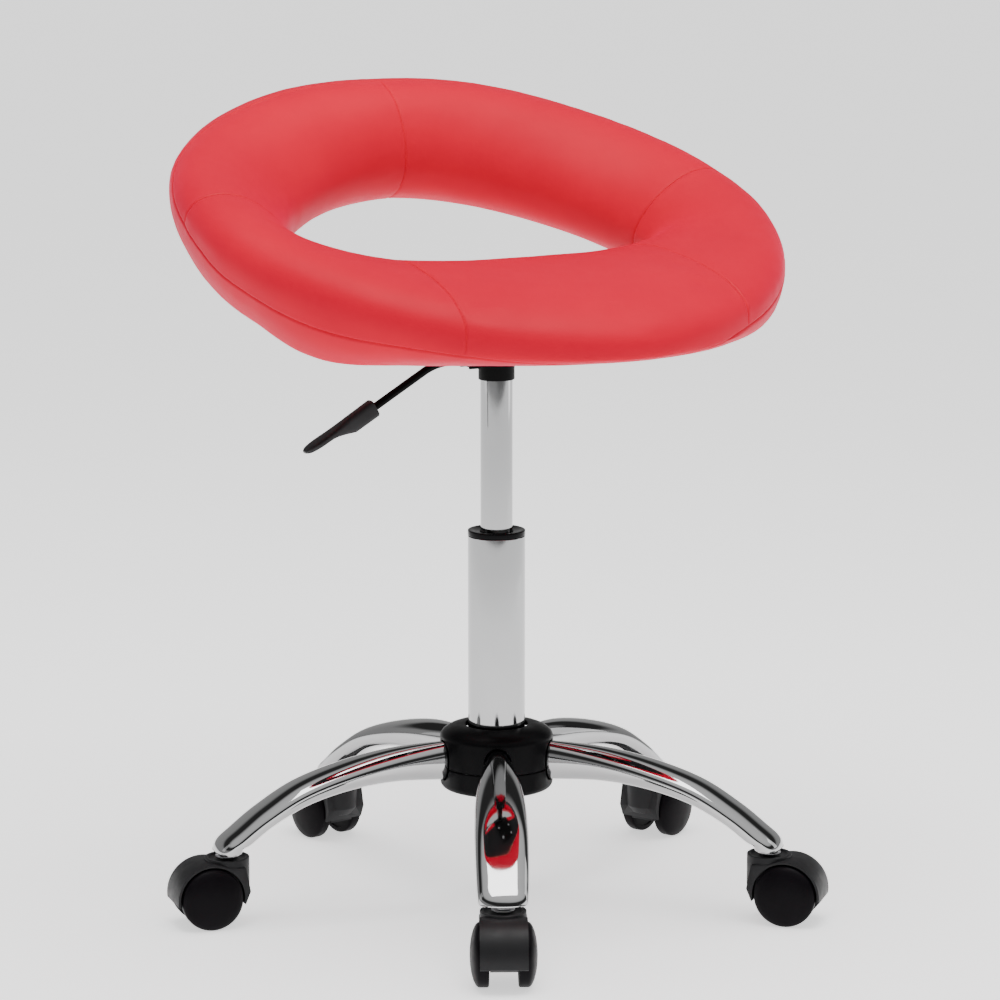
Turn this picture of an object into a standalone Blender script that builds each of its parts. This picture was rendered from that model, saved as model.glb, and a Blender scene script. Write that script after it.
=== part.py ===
"""Adjustable swivel stool: a ring seat on a gas lift, over a five-leg base on twin-wheel castors.

Metres, +Z up. The floor is z = 0, the column stands on the Z axis and the seat faces -Y.
"""
import math

import bmesh
import bpy
from mathutils import Matrix, Vector

TAU = 2.0 * math.pi
GAP = 0.0003                      # clearance between pieces that touch

# ---------------------------------------------------------------- driving dimensions: castors
LEG_COUNT = 5
BASE_TURN = math.radians(-116.7)  # plan angle of the first leg
CASTOR_RADIUS = 0.2115            # castor stem to column axis
CASTOR_TRAIL = 0.0155             # stem to wheel axle
WHEEL_RADIUS = 0.023
WHEEL_INNER = 0.0104              # wheel's inner face to the castor's centre plane
WHEEL_TREAD = 0.0066
WHEEL_DOME = 0.0070
HOOD_RADIUS = 0.0262
HOOD_HALF_WIDTH = 0.0170
POCKET_RADIUS = 0.0245
WEB_HALF_WIDTH = 0.0099
BARREL_RADIUS = 0.0166
BARREL_TOP = 0.0510
AXLE_RADIUS = 0.0030
STEM_RADIUS = 0.0050
STEM_BOTTOM = 0.0320
STEM_TOP = 0.0602

# ---------------------------------------------------------------- driving dimensions: base
LEG_START = 0.0254
LEG_WALL = 0.0016
HUB_RADIUS = 0.0426
HUB_TOP = 0.1352
HUB_OPENING = 0.0236
HUB_SHOULDER = 0.1258
HUB_SPLIT = 0.1040
HUB_FLOOR = 0.0868
HUB_WALL = 0.0020
CORE_RADIUS = 0.0247
CORE_BOTTOM = 0.0925
CORE_TOP = 0.1290
COLUMN_RADIUS = 0.0215
COLUMN_BORE = 0.0203
COLUMN_BOTTOM = 0.0920
COLUMN_TOP = 0.2795

# ---------------------------------------------------------------- driving dimensions: gas lift
CYLINDER_RADIUS = 0.0120
CYLINDER_BORE = 0.0105
CYLINDER_BOTTOM = 0.1630
CYLINDER_TOP = 0.4060
SLEEVE_BORE = 0.01235
ROD_RADIUS = 0.0040
ROD_BOTTOM = 0.0895
ROD_TOP = 0.2400
ROD_BORE = 0.0043                 # holes that the rod passes through
FLOOR_TOP = 0.0965                # top of the column's floor plate
PIN_RADIUS = 0.0025
PIN_TOP = 0.4097

# ---------------------------------------------------------------- driving dimensions: seat mechanism
SOCKET_RADIUS = 0.0135
SOCKET_BORE = 0.0123
SOCKET_BOTTOM = 0.3975
PLATE_TOP = 0.4311
PLATE_THICK = 0.0025
PLATE_HALF_WIDTH = 0.046
PLATE_FRONT = -0.118
PLATE_BACK = 0.016
BOLT_X = 0.033
BOLT_Y = (-0.100, -0.050)
BOLT_RADIUS = 0.0030
LEVER_PIVOT = 0.0220              # lever pivot to column axis
LEVER_HEIGHT = 0.4130
LEVER_ROD_RADIUS = 0.0029
LEVER_SLOPE = math.radians(28.2)
LEVER_KNEE = 0.0503               # where the rod bends down, from the column axis
GRIP_START = 0.0980

# ---------------------------------------------------------------- driving dimensions: seat ring
SEAT_HALF_WIDTH = 0.230
SEAT_FRONT = 0.2061                # column axis to the seat's front edge
SEAT_BACK = 0.2239
SEAT_WIDEST = 0.0177              # the outer edge is widest this far behind the axis
SEAT_FRONT_POWER = 1.84
SEAT_BACK_POWER = 2.36
HOLE_HALF_WIDTH = 0.1434
HOLE_FRONT = -0.0138               # minus: the hole starts just behind the axis
HOLE_BACK = 0.1496
HOLE_WIDEST = 0.0350
HOLE_FRONT_POWER = 3.18
HOLE_BACK_POWER = 1.87
RISE = (0.4885, 0.3746, -0.517, 0.666, 15.09)   # height of the ring's middle, powers of y
TILT = (0.260, 0.348, 0.182)      # outward tilt of the section: front, side, back
THICKNESS = (0.0842, 0.0706, 0.0730)
SECTION_POWERS = (2.46, 1.91)     # the section is squarer at the front than at the sides and back
SQUARENESS = 1.27                 # how soon the section's side turns into its flat underside
UNDERSIDE = 0.4314                # flat underside round the mounting plate
LEATHER_EDGE = -54.0              # where the leather ends under the board, round the section
STATIONS = 48                     # sections round the ring
BOARD_SPAN = 0.55                 # board's edge, as a share of the section's half width
BOARD_THICK = 0.0120
COVER_THICK = 0.0012
COLUMN_AXIS = (0.0090, -0.0085, 0.0)   # keeps the whole stool centred on the origin

# ---------------------------------------------------------------- finishes: colour, roughness, metallic
FINISHES = {
    "chrome": ((0.80, 0.81, 0.82), 0.08, 1.0),
    "steel": ((0.42, 0.43, 0.44), 0.35, 1.0),
    "black_plastic": ((0.014, 0.014, 0.016), 0.38, 0.0),
    "black_nylon": ((0.010, 0.010, 0.011), 0.50, 0.0),
    "black_paint": ((0.012, 0.012, 0.012), 0.45, 0.0),
    "plywood": ((0.55, 0.40, 0.24), 0.65, 0.0),
    "black_felt": ((0.020, 0.020, 0.021), 0.90, 0.0),
    "red_leather": ((0.60, 0.020, 0.030), 0.42, 0.0),
}


# ---------------------------------------------------------------- scene, materials, objects
def clear_scene():
    for obj in list(bpy.data.objects):
        bpy.data.objects.remove(obj, do_unlink=True)


def finish_material(name, finish):
    colour, roughness, metallic = FINISHES[finish]
    mat = bpy.data.materials.new(name)
    mat.use_nodes = True
    shader = mat.node_tree.nodes["Principled BSDF"]
    shader.inputs["Base Color"].default_value = (*colour, 1.0)
    shader.inputs["Roughness"].default_value = roughness
    shader.inputs["Metallic"].default_value = metallic
    mat.diffuse_color = (*colour, 1.0)
    return mat


def linked(name, data, parent, location):
    """A new object, carried by the column's axis unless another parent is given."""
    carrier = parent or bpy.data.objects.get("column_axis")
    obj = bpy.data.objects.new(name, data)
    bpy.context.scene.collection.objects.link(obj)
    obj.parent = carrier
    obj.location = location
    return obj


def place(name, mesh, finish, parent=None, location=(0.0, 0.0, 0.0)):
    """One named piece with its own material."""
    obj = linked(name, mesh, parent, location)
    obj.data.materials.clear()
    obj.data.materials.append(finish_material(name, finish))
    return obj


def axis_empty(name, location, turn=0.0, parent=None):
    empty = linked(name, None, parent, location)
    empty.rotation_euler = (0.0, 0.0, turn)
    return empty


def hidden(name, mesh, parent=None, location=(0.0, 0.0, 0.0)):
    """A cutter or a shape to join: never a piece of its own."""
    obj = linked(name, mesh, parent, location)
    obj.hide_render = True
    obj.display_type = "WIRE"
    return obj


def combine(obj, other, operation):
    mod = obj.modifiers.new(f"{operation.lower()} {other.name}", "BOOLEAN")
    mod.operation = operation
    mod.solver = "EXACT"
    mod.object = other


# ---------------------------------------------------------------- mesh building
def to_mesh(bm, name, smooth=True):
    bmesh.ops.recalc_face_normals(bm, faces=bm.faces)
    mesh = bpy.data.meshes.new(name)
    bm.to_mesh(mesh)
    bm.free()
    if smooth:
        mesh.shade_smooth()
        mesh.set_sharp_from_angle(angle=math.radians(32.0))
    return mesh


def bridge(bm, first, second, split=False):
    """Faces between two rings of vertices, either of which may be a single pole."""
    count = max(len(first), len(second))
    if count < 2:
        return
    for i in range(count):
        j = (i + 1) % count
        corners = [first[i % len(first)], first[j % len(first)],
                   second[j % len(second)], second[i % len(second)]]
        unique = list(dict.fromkeys(corners))
        if split and len(unique) == 4:
            bm.faces.new(unique[:3])
            bm.faces.new([unique[0], unique[2], unique[3]])
        else:
            bm.faces.new(unique)


def turned(name, profile, segments=24, loop=False):
    """Revolve (radius, height) points about Z. A loop is a ring with a bore."""
    bm = bmesh.new()
    rings = []
    for radius, height in profile:
        if radius < 1e-7:
            rings.append([bm.verts.new((0.0, 0.0, height))])
            continue
        rings.append([
            bm.verts.new((radius * math.cos(TAU * i / segments),
                          radius * math.sin(TAU * i / segments), height))
            for i in range(segments)
        ])
    followers = rings[1:] + (rings[:1] if loop else [])
    for first, second in zip(rings, followers):
        bridge(bm, first, second)
    return to_mesh(bm, name)


def tube_profile(outer, inner, low, high):
    return [(outer, low), (outer, high), (inner, high), (inner, low)]


def rod_profile(radius, low, high, chamfer=0.0004):
    return [(0.0, low), (radius - chamfer, low), (radius, low + chamfer),
            (radius, high - chamfer), (radius - chamfer, high), (0.0, high)]


def lofted(name, rings, closed_path=False, caps=True):
    """Skin a list of vertex rings, capped at both ends unless the path is closed.

    A closed path is split into triangles the same way for every piece, so nested rings stay apart.
    """
    bm = bmesh.new()
    made = [[bm.verts.new(point) for point in ring] for ring in rings]
    followers = made[1:] + (made[:1] if closed_path else [])
    for first, second in zip(made, followers):
        bridge(bm, first, second, split=closed_path)
    if caps and not closed_path:
        bm.faces.new(made[0])
        bm.faces.new(made[-1])
    return to_mesh(bm, name)


def extruded(name, outline, low, high, axis="Z"):
    """Extrude a closed outline of (a, b) points between two levels of an axis."""
    def point(a, b, c):
        return (a, b, c) if axis == "Z" else (a, c, b)

    rings = [[point(a, b, level) for a, b in outline] for level in (low, high)]
    return lofted(name, rings)


def box_mesh(name, low, high):
    outline = [(low[0], low[1]), (high[0], low[1]), (high[0], high[1]), (low[0], high[1])]
    return extruded(name, outline, low[2], high[2])


def merged_mesh(name, meshes):
    """Several separate closed bodies in one cutter."""
    bm = bmesh.new()
    for mesh in meshes:
        bm.from_mesh(mesh)
    return to_mesh(bm, name, smooth=False)


def arc(centre, radius, start, end, count):
    """Points on an arc, angles in degrees, both ends included."""
    return [
        (centre[0] + radius * math.cos(math.radians(start + (end - start) * i / count)),
         centre[1] + radius * math.sin(math.radians(start + (end - start) * i / count)))
        for i in range(count + 1)
    ]


def super_ellipse(half_a, half_b, power, count):
    points = []
    for i in range(count):
        c = math.cos(TAU * i / count)
        s = math.sin(TAU * i / count)
        a = half_a * math.copysign(abs(c) ** (2.0 / power), c)
        b = half_b * math.copysign(abs(s) ** (2.0 / power), s)
        points.append((a, b))
    return points


def catmull_rom(rows, per_span):
    """Smooth rows of numbers through their own points."""
    padded = [rows[0]] + list(rows) + [rows[-1]]
    result = []
    for k in range(1, len(padded) - 2):
        for step in range(per_span):
            t = step / per_span
            row = []
            for p0, p1, p2, p3 in zip(*padded[k - 1:k + 3]):
                row.append(0.5 * (2 * p1 + (p2 - p0) * t + (2 * p0 - 5 * p1 + 4 * p2 - p3) * t * t
                                  + (3 * p1 - p0 - 3 * p2 + p3) * t ** 3))
            result.append(tuple(row))
    result.append(tuple(rows[-1]))
    return result


# ---------------------------------------------------------------- castors
def wheel_mesh():
    """A domed wheel about Z: inner face at z = 0, outer face bulging up, blind axle bore."""
    bore = AXLE_RADIUS + GAP
    shoulder = 0.0015
    profile = [(0.0, 0.0074), (bore, 0.0074), (bore, 0.0), (WHEEL_RADIUS - shoulder, 0.0),
               (WHEEL_RADIUS, shoulder), (WHEEL_RADIUS, WHEEL_TREAD)]
    for angle in (25.0, 50.0):
        rise = math.radians(angle)
        profile.append((WHEEL_RADIUS * math.cos(rise), WHEEL_TREAD + WHEEL_DOME * math.sin(rise)))
    profile.append((0.0, WHEEL_TREAD + WHEEL_DOME))
    return turned("wheel", profile, segments=22)


def housing_outline():
    """Side outline of the hood in (trail, height), from its rear lip over the top to the barrel."""
    axle = (CASTOR_TRAIL, WHEEL_RADIUS)
    points = arc(axle, HOOD_RADIUS, -8.0, 118.0, 10)
    points += [(-0.0100, BARREL_TOP - 0.0060), (-0.0135, 0.0270), (-0.0095, 0.0175)]
    points += arc(axle, HOOD_RADIUS - 0.0030, 190.0, 200.0, 1)
    points += [(CASTOR_TRAIL, 0.0165), (CASTOR_TRAIL + HOOD_RADIUS - 0.0048, 0.0165)]
    return points


def barrel_mesh():
    rim = 0.0013
    profile = [(0.0, 0.0215), (BARREL_RADIUS - 0.004, 0.0215), (BARREL_RADIUS, 0.0270),
               (BARREL_RADIUS, BARREL_TOP - 0.0008), (BARREL_RADIUS - 0.0008, BARREL_TOP),
               (BARREL_RADIUS - 0.0022, BARREL_TOP), (BARREL_RADIUS - 0.0030, BARREL_TOP - rim),
               (0.0, BARREL_TOP - rim)]
    return turned("barrel", profile, segments=24)


def add_castor_housing(number, castor):
    hood = extruded("hood", housing_outline(), -HOOD_HALF_WIDTH, HOOD_HALF_WIDTH, axis="Y")
    housing = place(f"castor_housing_{number}", hood, "black_plastic", castor)
    combine(housing, hidden(f"barrel_cut_{number}", barrel_mesh(), castor), "UNION")
    pocket_depth = 0.012
    pockets = []
    for side in (-1.0, 1.0):
        pocket = turned("pocket", rod_profile(POCKET_RADIUS, 0.0, pocket_depth), segments=24)
        turn = Matrix.Rotation(math.radians(-90.0 * side), 4, "X")
        shift = Matrix.Translation((CASTOR_TRAIL, side * WEB_HALF_WIDTH, WHEEL_RADIUS))
        pocket.transform(shift @ turn)
        pockets.append(pocket)
    axle_bore = turned("axle_bore", rod_profile(AXLE_RADIUS + GAP, -0.012, 0.012), segments=12)
    axle_bore.transform(Matrix.Translation((CASTOR_TRAIL, 0.0, WHEEL_RADIUS))
                        @ Matrix.Rotation(math.radians(90.0), 4, "X"))
    stem_bore = turned("stem_bore", rod_profile(STEM_RADIUS + GAP, STEM_BOTTOM - GAP, 0.060), 12)
    for label, mesh in (("pocket_a", pockets[0]), ("pocket_b", pockets[1]),
                        ("axle_bore", axle_bore), ("stem_bore", stem_bore)):
        combine(housing, hidden(f"{label}_{number}", mesh, castor), "DIFFERENCE")


def stem_mesh():
    flange_low = BARREL_TOP + GAP
    return turned("stem", [
        (0.0, STEM_BOTTOM), (STEM_RADIUS - 0.0006, STEM_BOTTOM),
        (STEM_RADIUS, STEM_BOTTOM + 0.0006), (STEM_RADIUS, flange_low), (0.0085, flange_low),
        (0.0085, flange_low + 0.0010), (STEM_RADIUS, flange_low + 0.0010),
        (STEM_RADIUS, STEM_TOP - 0.0008), (STEM_RADIUS - 0.0008, STEM_TOP), (0.0, STEM_TOP),
    ], segments=12)


def add_castor(number, angle):
    spot = (CASTOR_RADIUS * math.cos(angle), CASTOR_RADIUS * math.sin(angle), 0.0)
    castor = axis_empty(f"castor_axis_{number}", spot, turn=angle)
    add_castor_housing(number, castor)
    place(f"castor_stem_{number}", stem_mesh(), "steel", castor)
    reach = WHEEL_INNER + 0.0070
    axle = place(f"castor_axle_{number}", turned("axle", rod_profile(AXLE_RADIUS, -reach, reach), 12),
                 "steel", castor, (CASTOR_TRAIL, 0.0, WHEEL_RADIUS))
    axle.rotation_euler = (math.radians(90.0), 0.0, 0.0)
    for label, side in (("a", 1.0), ("b", -1.0)):
        wheel = place(f"castor_wheel_{number}{label}", wheel_mesh(), "black_nylon", castor,
                      (CASTOR_TRAIL, side * WHEEL_INNER, WHEEL_RADIUS))
        wheel.rotation_euler = (math.radians(-90.0 * side), 0.0, 0.0)


# ---------------------------------------------------------------- legs
# radius, height, direction of the section's thickness in degrees, half thickness, half width
LEG_SECTIONS = [
    (LEG_START, 0.1097, 90.0, 0.0145, 0.0088),
    (0.0430, 0.1100, 90.0, 0.0146, 0.0092),
    (0.0830, 0.1098, 86.0, 0.0124, 0.0150),
    (0.1200, 0.1045, 77.0, 0.0104, 0.0182),
    (0.1550, 0.0942, 67.0, 0.0091, 0.0193),
    (0.1830, 0.0790, 52.0, 0.0081, 0.0193),
    (0.2018, 0.0652, 32.0, 0.0086, 0.0188),
    (0.2092, 0.0600, 6.0, 0.0098, 0.0182),
    (0.2112, 0.0546, 0.0, 0.0100, 0.0176),
]
LEG_POWER = 2.3


def leg_ring(section, inset, count=16):
    radius, height, direction, half_thick, half_wide = section
    up = Vector((math.cos(math.radians(direction)), 0.0, math.sin(math.radians(direction))))
    centre = Vector((radius, 0.0, height))
    outline = super_ellipse(half_thick - inset, half_wide - inset, LEG_POWER, count)
    return [centre + up * a + Vector((0.0, b, 0.0)) for a, b in outline]


def leg_mesh():
    """A squashed steel tube, tall at the hub and flat at the castor, solid round the stem."""
    sections = catmull_rom(LEG_SECTIONS, 2)
    solid_from = len(sections) - 5
    outer = [leg_ring(section, 0.0) for section in sections]
    inner = [leg_ring(section, LEG_WALL) for section in sections[:solid_from:2]]
    return lofted("leg", list(reversed(inner)) + outer)


def add_leg(number, angle):
    turn = axis_empty(f"leg_turn_{number}", (0.0, 0.0, 0.0), turn=angle)
    leg = place(f"leg_{number}", leg_mesh(), "chrome", turn)
    bore = turned("leg_bore", rod_profile(STEM_RADIUS + GAP, 0.045, STEM_TOP + 0.0006), 12)
    combine(leg, hidden(f"leg_bore_{number}", bore, turn, (CASTOR_RADIUS, 0.0, 0.0)), "DIFFERENCE")


# ---------------------------------------------------------------- hub
def leg_openings():
    """Five straight passages that the legs run through, a little larger than the legs."""
    passages = []
    for k in range(LEG_COUNT):
        angle = BASE_TURN + TAU * k / LEG_COUNT
        rings = []
        for radius in (CORE_RADIUS + 0.004, HUB_RADIUS + 0.010):
            outline = super_ellipse(0.0146 + 0.0009, 0.0096 + 0.0012, LEG_POWER, 20)
            rings.append([Vector((radius, b, 0.1098 + a)) for a, b in outline])
        passage = lofted("passage", rings)
        passage.transform(Matrix.Rotation(angle, 4, "Z"))
        passages.append(passage)
    return merged_mesh("leg_openings", passages)


def shoulder_arc(inset, start, end, count):
    """Quarter-ellipse from the hub's wall (0 degrees) to its opening (90 degrees)."""
    half_r = HUB_RADIUS - HUB_OPENING
    half_z = HUB_TOP - HUB_SHOULDER
    points = []
    for i in range(count + 1):
        angle = math.radians(start + (end - start) * i / count)
        points.append((HUB_OPENING + (half_r - inset) * math.cos(angle),
                       HUB_SHOULDER + (half_z - inset) * math.sin(angle)))
    return points


def upper_cover_mesh():
    low = HUB_SPLIT + GAP
    outer = [(HUB_RADIUS, low)] + shoulder_arc(0.0, 0.0, 90.0, 5)
    inner = shoulder_arc(HUB_WALL, 90.0, 0.0, 4) + [(HUB_RADIUS - HUB_WALL, low)]
    return turned("upper_cover", outer + inner, segments=40, loop=True)


def lower_cover_mesh():
    wall = HUB_RADIUS - 0.0002
    corner = 0.0048
    outer = [(0.0, HUB_FLOOR)]
    outer += [(wall - corner + corner * math.sin(math.radians(a)),
               HUB_FLOOR + corner - corner * math.cos(math.radians(a))) for a in (0.0, 35.0, 65.0, 90.0)]
    outer += [(HUB_RADIUS, HUB_SPLIT), (HUB_RADIUS - HUB_WALL, HUB_SPLIT)]
    outer += [(wall - HUB_WALL, HUB_FLOOR + corner), (wall - corner, HUB_FLOOR + HUB_WALL),
              (0.0, HUB_FLOOR + HUB_WALL)]
    return turned("lower_cover", outer, segments=40)


def add_hub():
    openings = hidden("hub_leg_openings", leg_openings())
    upper = place("hub_upper_cover", upper_cover_mesh(), "black_plastic")
    lower = place("hub_lower_cover", lower_cover_mesh(), "black_plastic")
    for cover in (upper, lower):
        combine(cover, openings, "DIFFERENCE")
    core = tube_profile(CORE_RADIUS, COLUMN_RADIUS + GAP, CORE_BOTTOM, CORE_TOP)
    place("hub_core", turned("core", core, 32, loop=True), "steel")


# ---------------------------------------------------------------- column and gas lift
def add_column():
    place("column_tube", turned("column", tube_profile(
        COLUMN_RADIUS, COLUMN_BORE, COLUMN_BOTTOM, COLUMN_TOP), 36, loop=True), "chrome")
    flange = COLUMN_TOP + GAP
    place("column_top_ring", turned("top_ring", [
        (0.0199, COLUMN_TOP - 0.009), (0.0199, flange), (0.0216, flange), (0.0216, flange + 0.0034),
        (0.0206, flange + 0.0042), (0.0150, flange + 0.0034), (SLEEVE_BORE, flange + 0.0030),
        (SLEEVE_BORE, COLUMN_TOP - 0.009)], 36, loop=True), "black_plastic")
    place("guide_sleeve", turned("sleeve", tube_profile(
        0.0199, SLEEVE_BORE, 0.1500, COLUMN_TOP - 0.0095), 28, loop=True), "black_nylon")
    place("column_floor", turned("floor", tube_profile(
        0.0199, ROD_BORE, COLUMN_BOTTOM, FLOOR_TOP), 24, loop=True), "steel")


def clip_outline():
    """A C shape that opens towards +X."""
    return arc((0.0, 0.0), 0.0075, 35.0, 325.0, 16) + arc((0.0, 0.0), ROD_BORE, 325.0, 35.0, 16)


def add_gas_lift():
    race_low = FLOOR_TOP + GAP
    race_high = FLOOR_TOP + 0.0045
    place("thrust_bearing", turned("bearing", tube_profile(
        0.0130, 0.0060, race_low, race_high), 24, loop=True), "steel")
    foot = race_high + GAP
    place("piston_rod", turned("rod", [
        (0.0, ROD_BOTTOM), (ROD_RADIUS, ROD_BOTTOM), (ROD_RADIUS, foot), (0.0125, foot),
        (0.0125, foot + 0.0022), (ROD_RADIUS, foot + 0.0022), (ROD_RADIUS, ROD_TOP), (0.0, ROD_TOP),
    ], 20), "steel")
    place("retaining_clip", extruded("clip", clip_outline(), 0.0903, 0.0915), "steel")
    place("piston", turned("piston", tube_profile(
        0.0101, ROD_BORE, 0.2280, 0.2380), 24, loop=True), "black_nylon")
    pin_bore = PIN_RADIUS + 0.0004
    place("gas_cylinder", turned("cylinder", [
        (CYLINDER_RADIUS, CYLINDER_BOTTOM), (CYLINDER_RADIUS, CYLINDER_TOP - 0.0015),
        (CYLINDER_RADIUS - 0.0015, CYLINDER_TOP), (pin_bore, CYLINDER_TOP),
        (pin_bore, CYLINDER_TOP - 0.0060), (CYLINDER_BORE, CYLINDER_TOP - 0.0060),
        (CYLINDER_BORE, CYLINDER_BOTTOM)], 32, loop=True), "chrome")
    place("rod_guide", turned("rod_guide", tube_profile(
        0.0101, ROD_BORE, CYLINDER_BOTTOM + 0.0002, CYLINDER_BOTTOM + 0.0090), 24, loop=True),
        "black_nylon")


# ---------------------------------------------------------------- seat mechanism
def add_socket():
    high = PLATE_TOP - PLATE_THICK - GAP
    socket = place("seat_socket", turned("socket", [
        (SOCKET_RADIUS - 0.0006, SOCKET_BOTTOM), (SOCKET_RADIUS, SOCKET_BOTTOM + 0.0008),
        (SOCKET_RADIUS, high), (SOCKET_BORE, high), (SOCKET_BORE, SOCKET_BOTTOM)], 32, loop=True),
        "black_paint")
    slot = box_mesh("socket_slot", (-0.020, -0.0037, LEVER_HEIGHT - 0.0047), (0.0, 0.0037, 0.45))
    combine(socket, hidden("socket_slot", slot), "DIFFERENCE")


def bolt_spots():
    return [(x, y) for x in (-BOLT_X, BOLT_X) for y in BOLT_Y]


def bolt_holes():
    holes = []
    for x, y in bolt_spots():
        hole = turned("hole", rod_profile(BOLT_RADIUS + GAP, 0.400, 0.4500), 16)
        hole.transform(Matrix.Translation((x, y, 0.0)))
        holes.append(hole)
    return merged_mesh("bolt_holes", holes)


def rounded_plate(name, half_x, low_y, high_y, corner, low, high):
    outline = []
    for cx, cy, start in ((half_x - corner, high_y - corner, 0.0), (corner - half_x, high_y - corner, 90.0),
                          (corner - half_x, low_y + corner, 180.0), (half_x - corner, low_y + corner, 270.0)):
        outline += arc((cx, cy), corner, start, start + 90.0, 3)
    return extruded(name, outline, low, high)


def add_plate(holes):
    plate = place("seat_plate", rounded_plate("plate", PLATE_HALF_WIDTH, PLATE_FRONT, PLATE_BACK, 0.010,
                                              PLATE_TOP - PLATE_THICK, PLATE_TOP), "black_paint")
    combine(plate, holes, "DIFFERENCE")


def add_bolts():
    low = PLATE_TOP - PLATE_THICK - GAP
    for number, (x, y) in enumerate(bolt_spots(), start=1):
        head = [(0.0055 * math.cos(TAU * (i + 0.5) / 6), 0.0055 * math.sin(TAU * (i + 0.5) / 6))
                for i in range(6)]
        bolt = place(f"plate_bolt_{number}", extruded("bolt_head", head, low - 0.0040, low),
                     "steel", location=(x, y, 0.0))
        shank = hidden(f"bolt_shank_{number}", turned("shank", rod_profile(
            BOLT_RADIUS, low - 0.0010, PLATE_TOP + 0.0125), 16), location=(x, y, 0.0))
        combine(bolt, shank, "UNION")


def add_lever_bracket():
    """Two ears and the web that joins them, under the plate."""
    high = PLATE_TOP - PLATE_THICK - GAP
    outline = [(-0.0080, high), (-0.0080, LEVER_HEIGHT - 0.0055), (-0.0062, LEVER_HEIGHT - 0.0055),
               (-0.0062, high - 0.0014), (0.0062, high - 0.0014), (0.0062, LEVER_HEIGHT - 0.0055),
               (0.0080, LEVER_HEIGHT - 0.0055), (0.0080, high)]
    rings = [[(x, y, z) for y, z in outline] for x in (-LEVER_PIVOT - 0.0045, -LEVER_PIVOT + 0.0045)]
    bracket = place("lever_bracket", lofted("bracket", rings), "black_paint")
    bore = turned("bracket_bore", rod_profile(0.0021, -0.012, 0.012), 16)
    bore.transform(Matrix.Rotation(math.radians(90.0), 4, "X"))
    hole = hidden("bracket_bore", bore, location=(-LEVER_PIVOT, 0.0, LEVER_HEIGHT))
    combine(bracket, hole, "DIFFERENCE")
    pin = turned("pivot_pin", [
        (0.0, -0.0091), (0.0030, -0.0091), (0.0030, -0.0083), (0.0018, -0.0083),
        (0.0018, 0.0083), (0.0030, 0.0083), (0.0030, 0.0091), (0.0, 0.0091)], 16)
    pin.transform(Matrix.Rotation(math.radians(90.0), 4, "X"))
    place("lever_pivot_pin", pin, "steel", location=(-LEVER_PIVOT, 0.0, LEVER_HEIGHT))
    return hole


def lever_point(distance):
    """Centre of the sloping rod at a distance from the column axis, towards -X."""
    return Vector((-distance, 0.0, LEVER_HEIGHT - (distance - LEVER_KNEE) * math.tan(LEVER_SLOPE)))


def rod_rings(centres, directions, radius, count=12):
    rings = []
    for centre, direction in zip(centres, directions):
        side = Vector((0.0, 1.0, 0.0))
        normal = direction.cross(side)
        rings.append([centre + side * (radius * math.cos(TAU * i / count))
                      + normal * (radius * math.sin(TAU * i / count)) for i in range(count)])
    return rings


def add_lever(bracket_hole):
    """Bent rod with a pivot block, and the paddle grip on its outer end."""
    bend = 0.012
    steps = 5
    centres = [Vector((0.0012, 0.0, LEVER_HEIGHT)), Vector((-LEVER_KNEE + bend, 0.0, LEVER_HEIGHT))]
    directions = [Vector((-1.0, 0.0, 0.0))] * 2
    for i in range(1, steps + 1):
        angle = LEVER_SLOPE * i / steps
        previous = centres[-1]
        directions.append(Vector((-math.cos(angle), 0.0, -math.sin(angle))))
        centres.append(previous + directions[-1] * (2.0 * bend / steps))
    grip_depth = 0.014
    along = directions[-1]
    grip_origin = lever_point(GRIP_START)
    centres.append(grip_origin + along * grip_depth)
    directions.append(along)
    # the last bent point is put on the sloping line so the rod runs straight into the grip
    centres[-2] = lever_point(LEVER_KNEE + bend * math.cos(LEVER_SLOPE))
    pivot = axis_empty("lever_axis", (-LEVER_PIVOT, 0.0, LEVER_HEIGHT))
    offset = Vector((LEVER_PIVOT, 0.0, -LEVER_HEIGHT))
    rings = rod_rings([c + offset for c in centres], directions, LEVER_ROD_RADIUS)
    lever = place("lever_rod", lofted("lever_rod", rings), "black_paint", pivot)
    block = hidden("lever_block", box_mesh("block", (-0.0040, -0.0056, -0.0043),
                                           (0.0040, 0.0056, 0.0043)), pivot)
    combine(lever, block, "UNION")
    combine(lever, bracket_hole, "DIFFERENCE")
    add_grip(pivot, grip_origin + offset, along, grip_depth)


# distance along the grip, underside, top, half width
GRIP_SECTIONS = [
    (0.0000, -0.0061, 0.0056, 0.0044),
    (0.0225, -0.0061, 0.0054, 0.0050),
    (0.0380, -0.0004, 0.0052, 0.0068),
    (0.0520, 0.0006, 0.0052, 0.0074),
    (0.0600, 0.0012, 0.0050, 0.0058),
    (0.0635, 0.0024, 0.0042, 0.0026),
]


def add_grip(pivot, origin, along, bore_depth):
    side = Vector((0.0, 1.0, 0.0))
    normal = along.cross(side)
    normal = normal if normal.z > 0.0 else -normal
    rings = []
    for distance, low, high, half_wide in GRIP_SECTIONS:
        outline = super_ellipse(half_wide, (high - low) / 2.0, 4.0, 16)
        centre = origin + along * distance + normal * ((high + low) / 2.0)
        rings.append([centre + side * a + normal * b for a, b in outline])
    grip = place("lever_grip", lofted("grip", rings), "black_plastic", pivot)
    clear = LEVER_ROD_RADIUS + GAP
    centres = [origin - along * 0.004, origin + along * (bore_depth + 0.0005)]
    bore = lofted("grip_bore", rod_rings(centres, [along, along], clear))
    combine(grip, hidden("grip_bore", bore, pivot), "DIFFERENCE")


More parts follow.
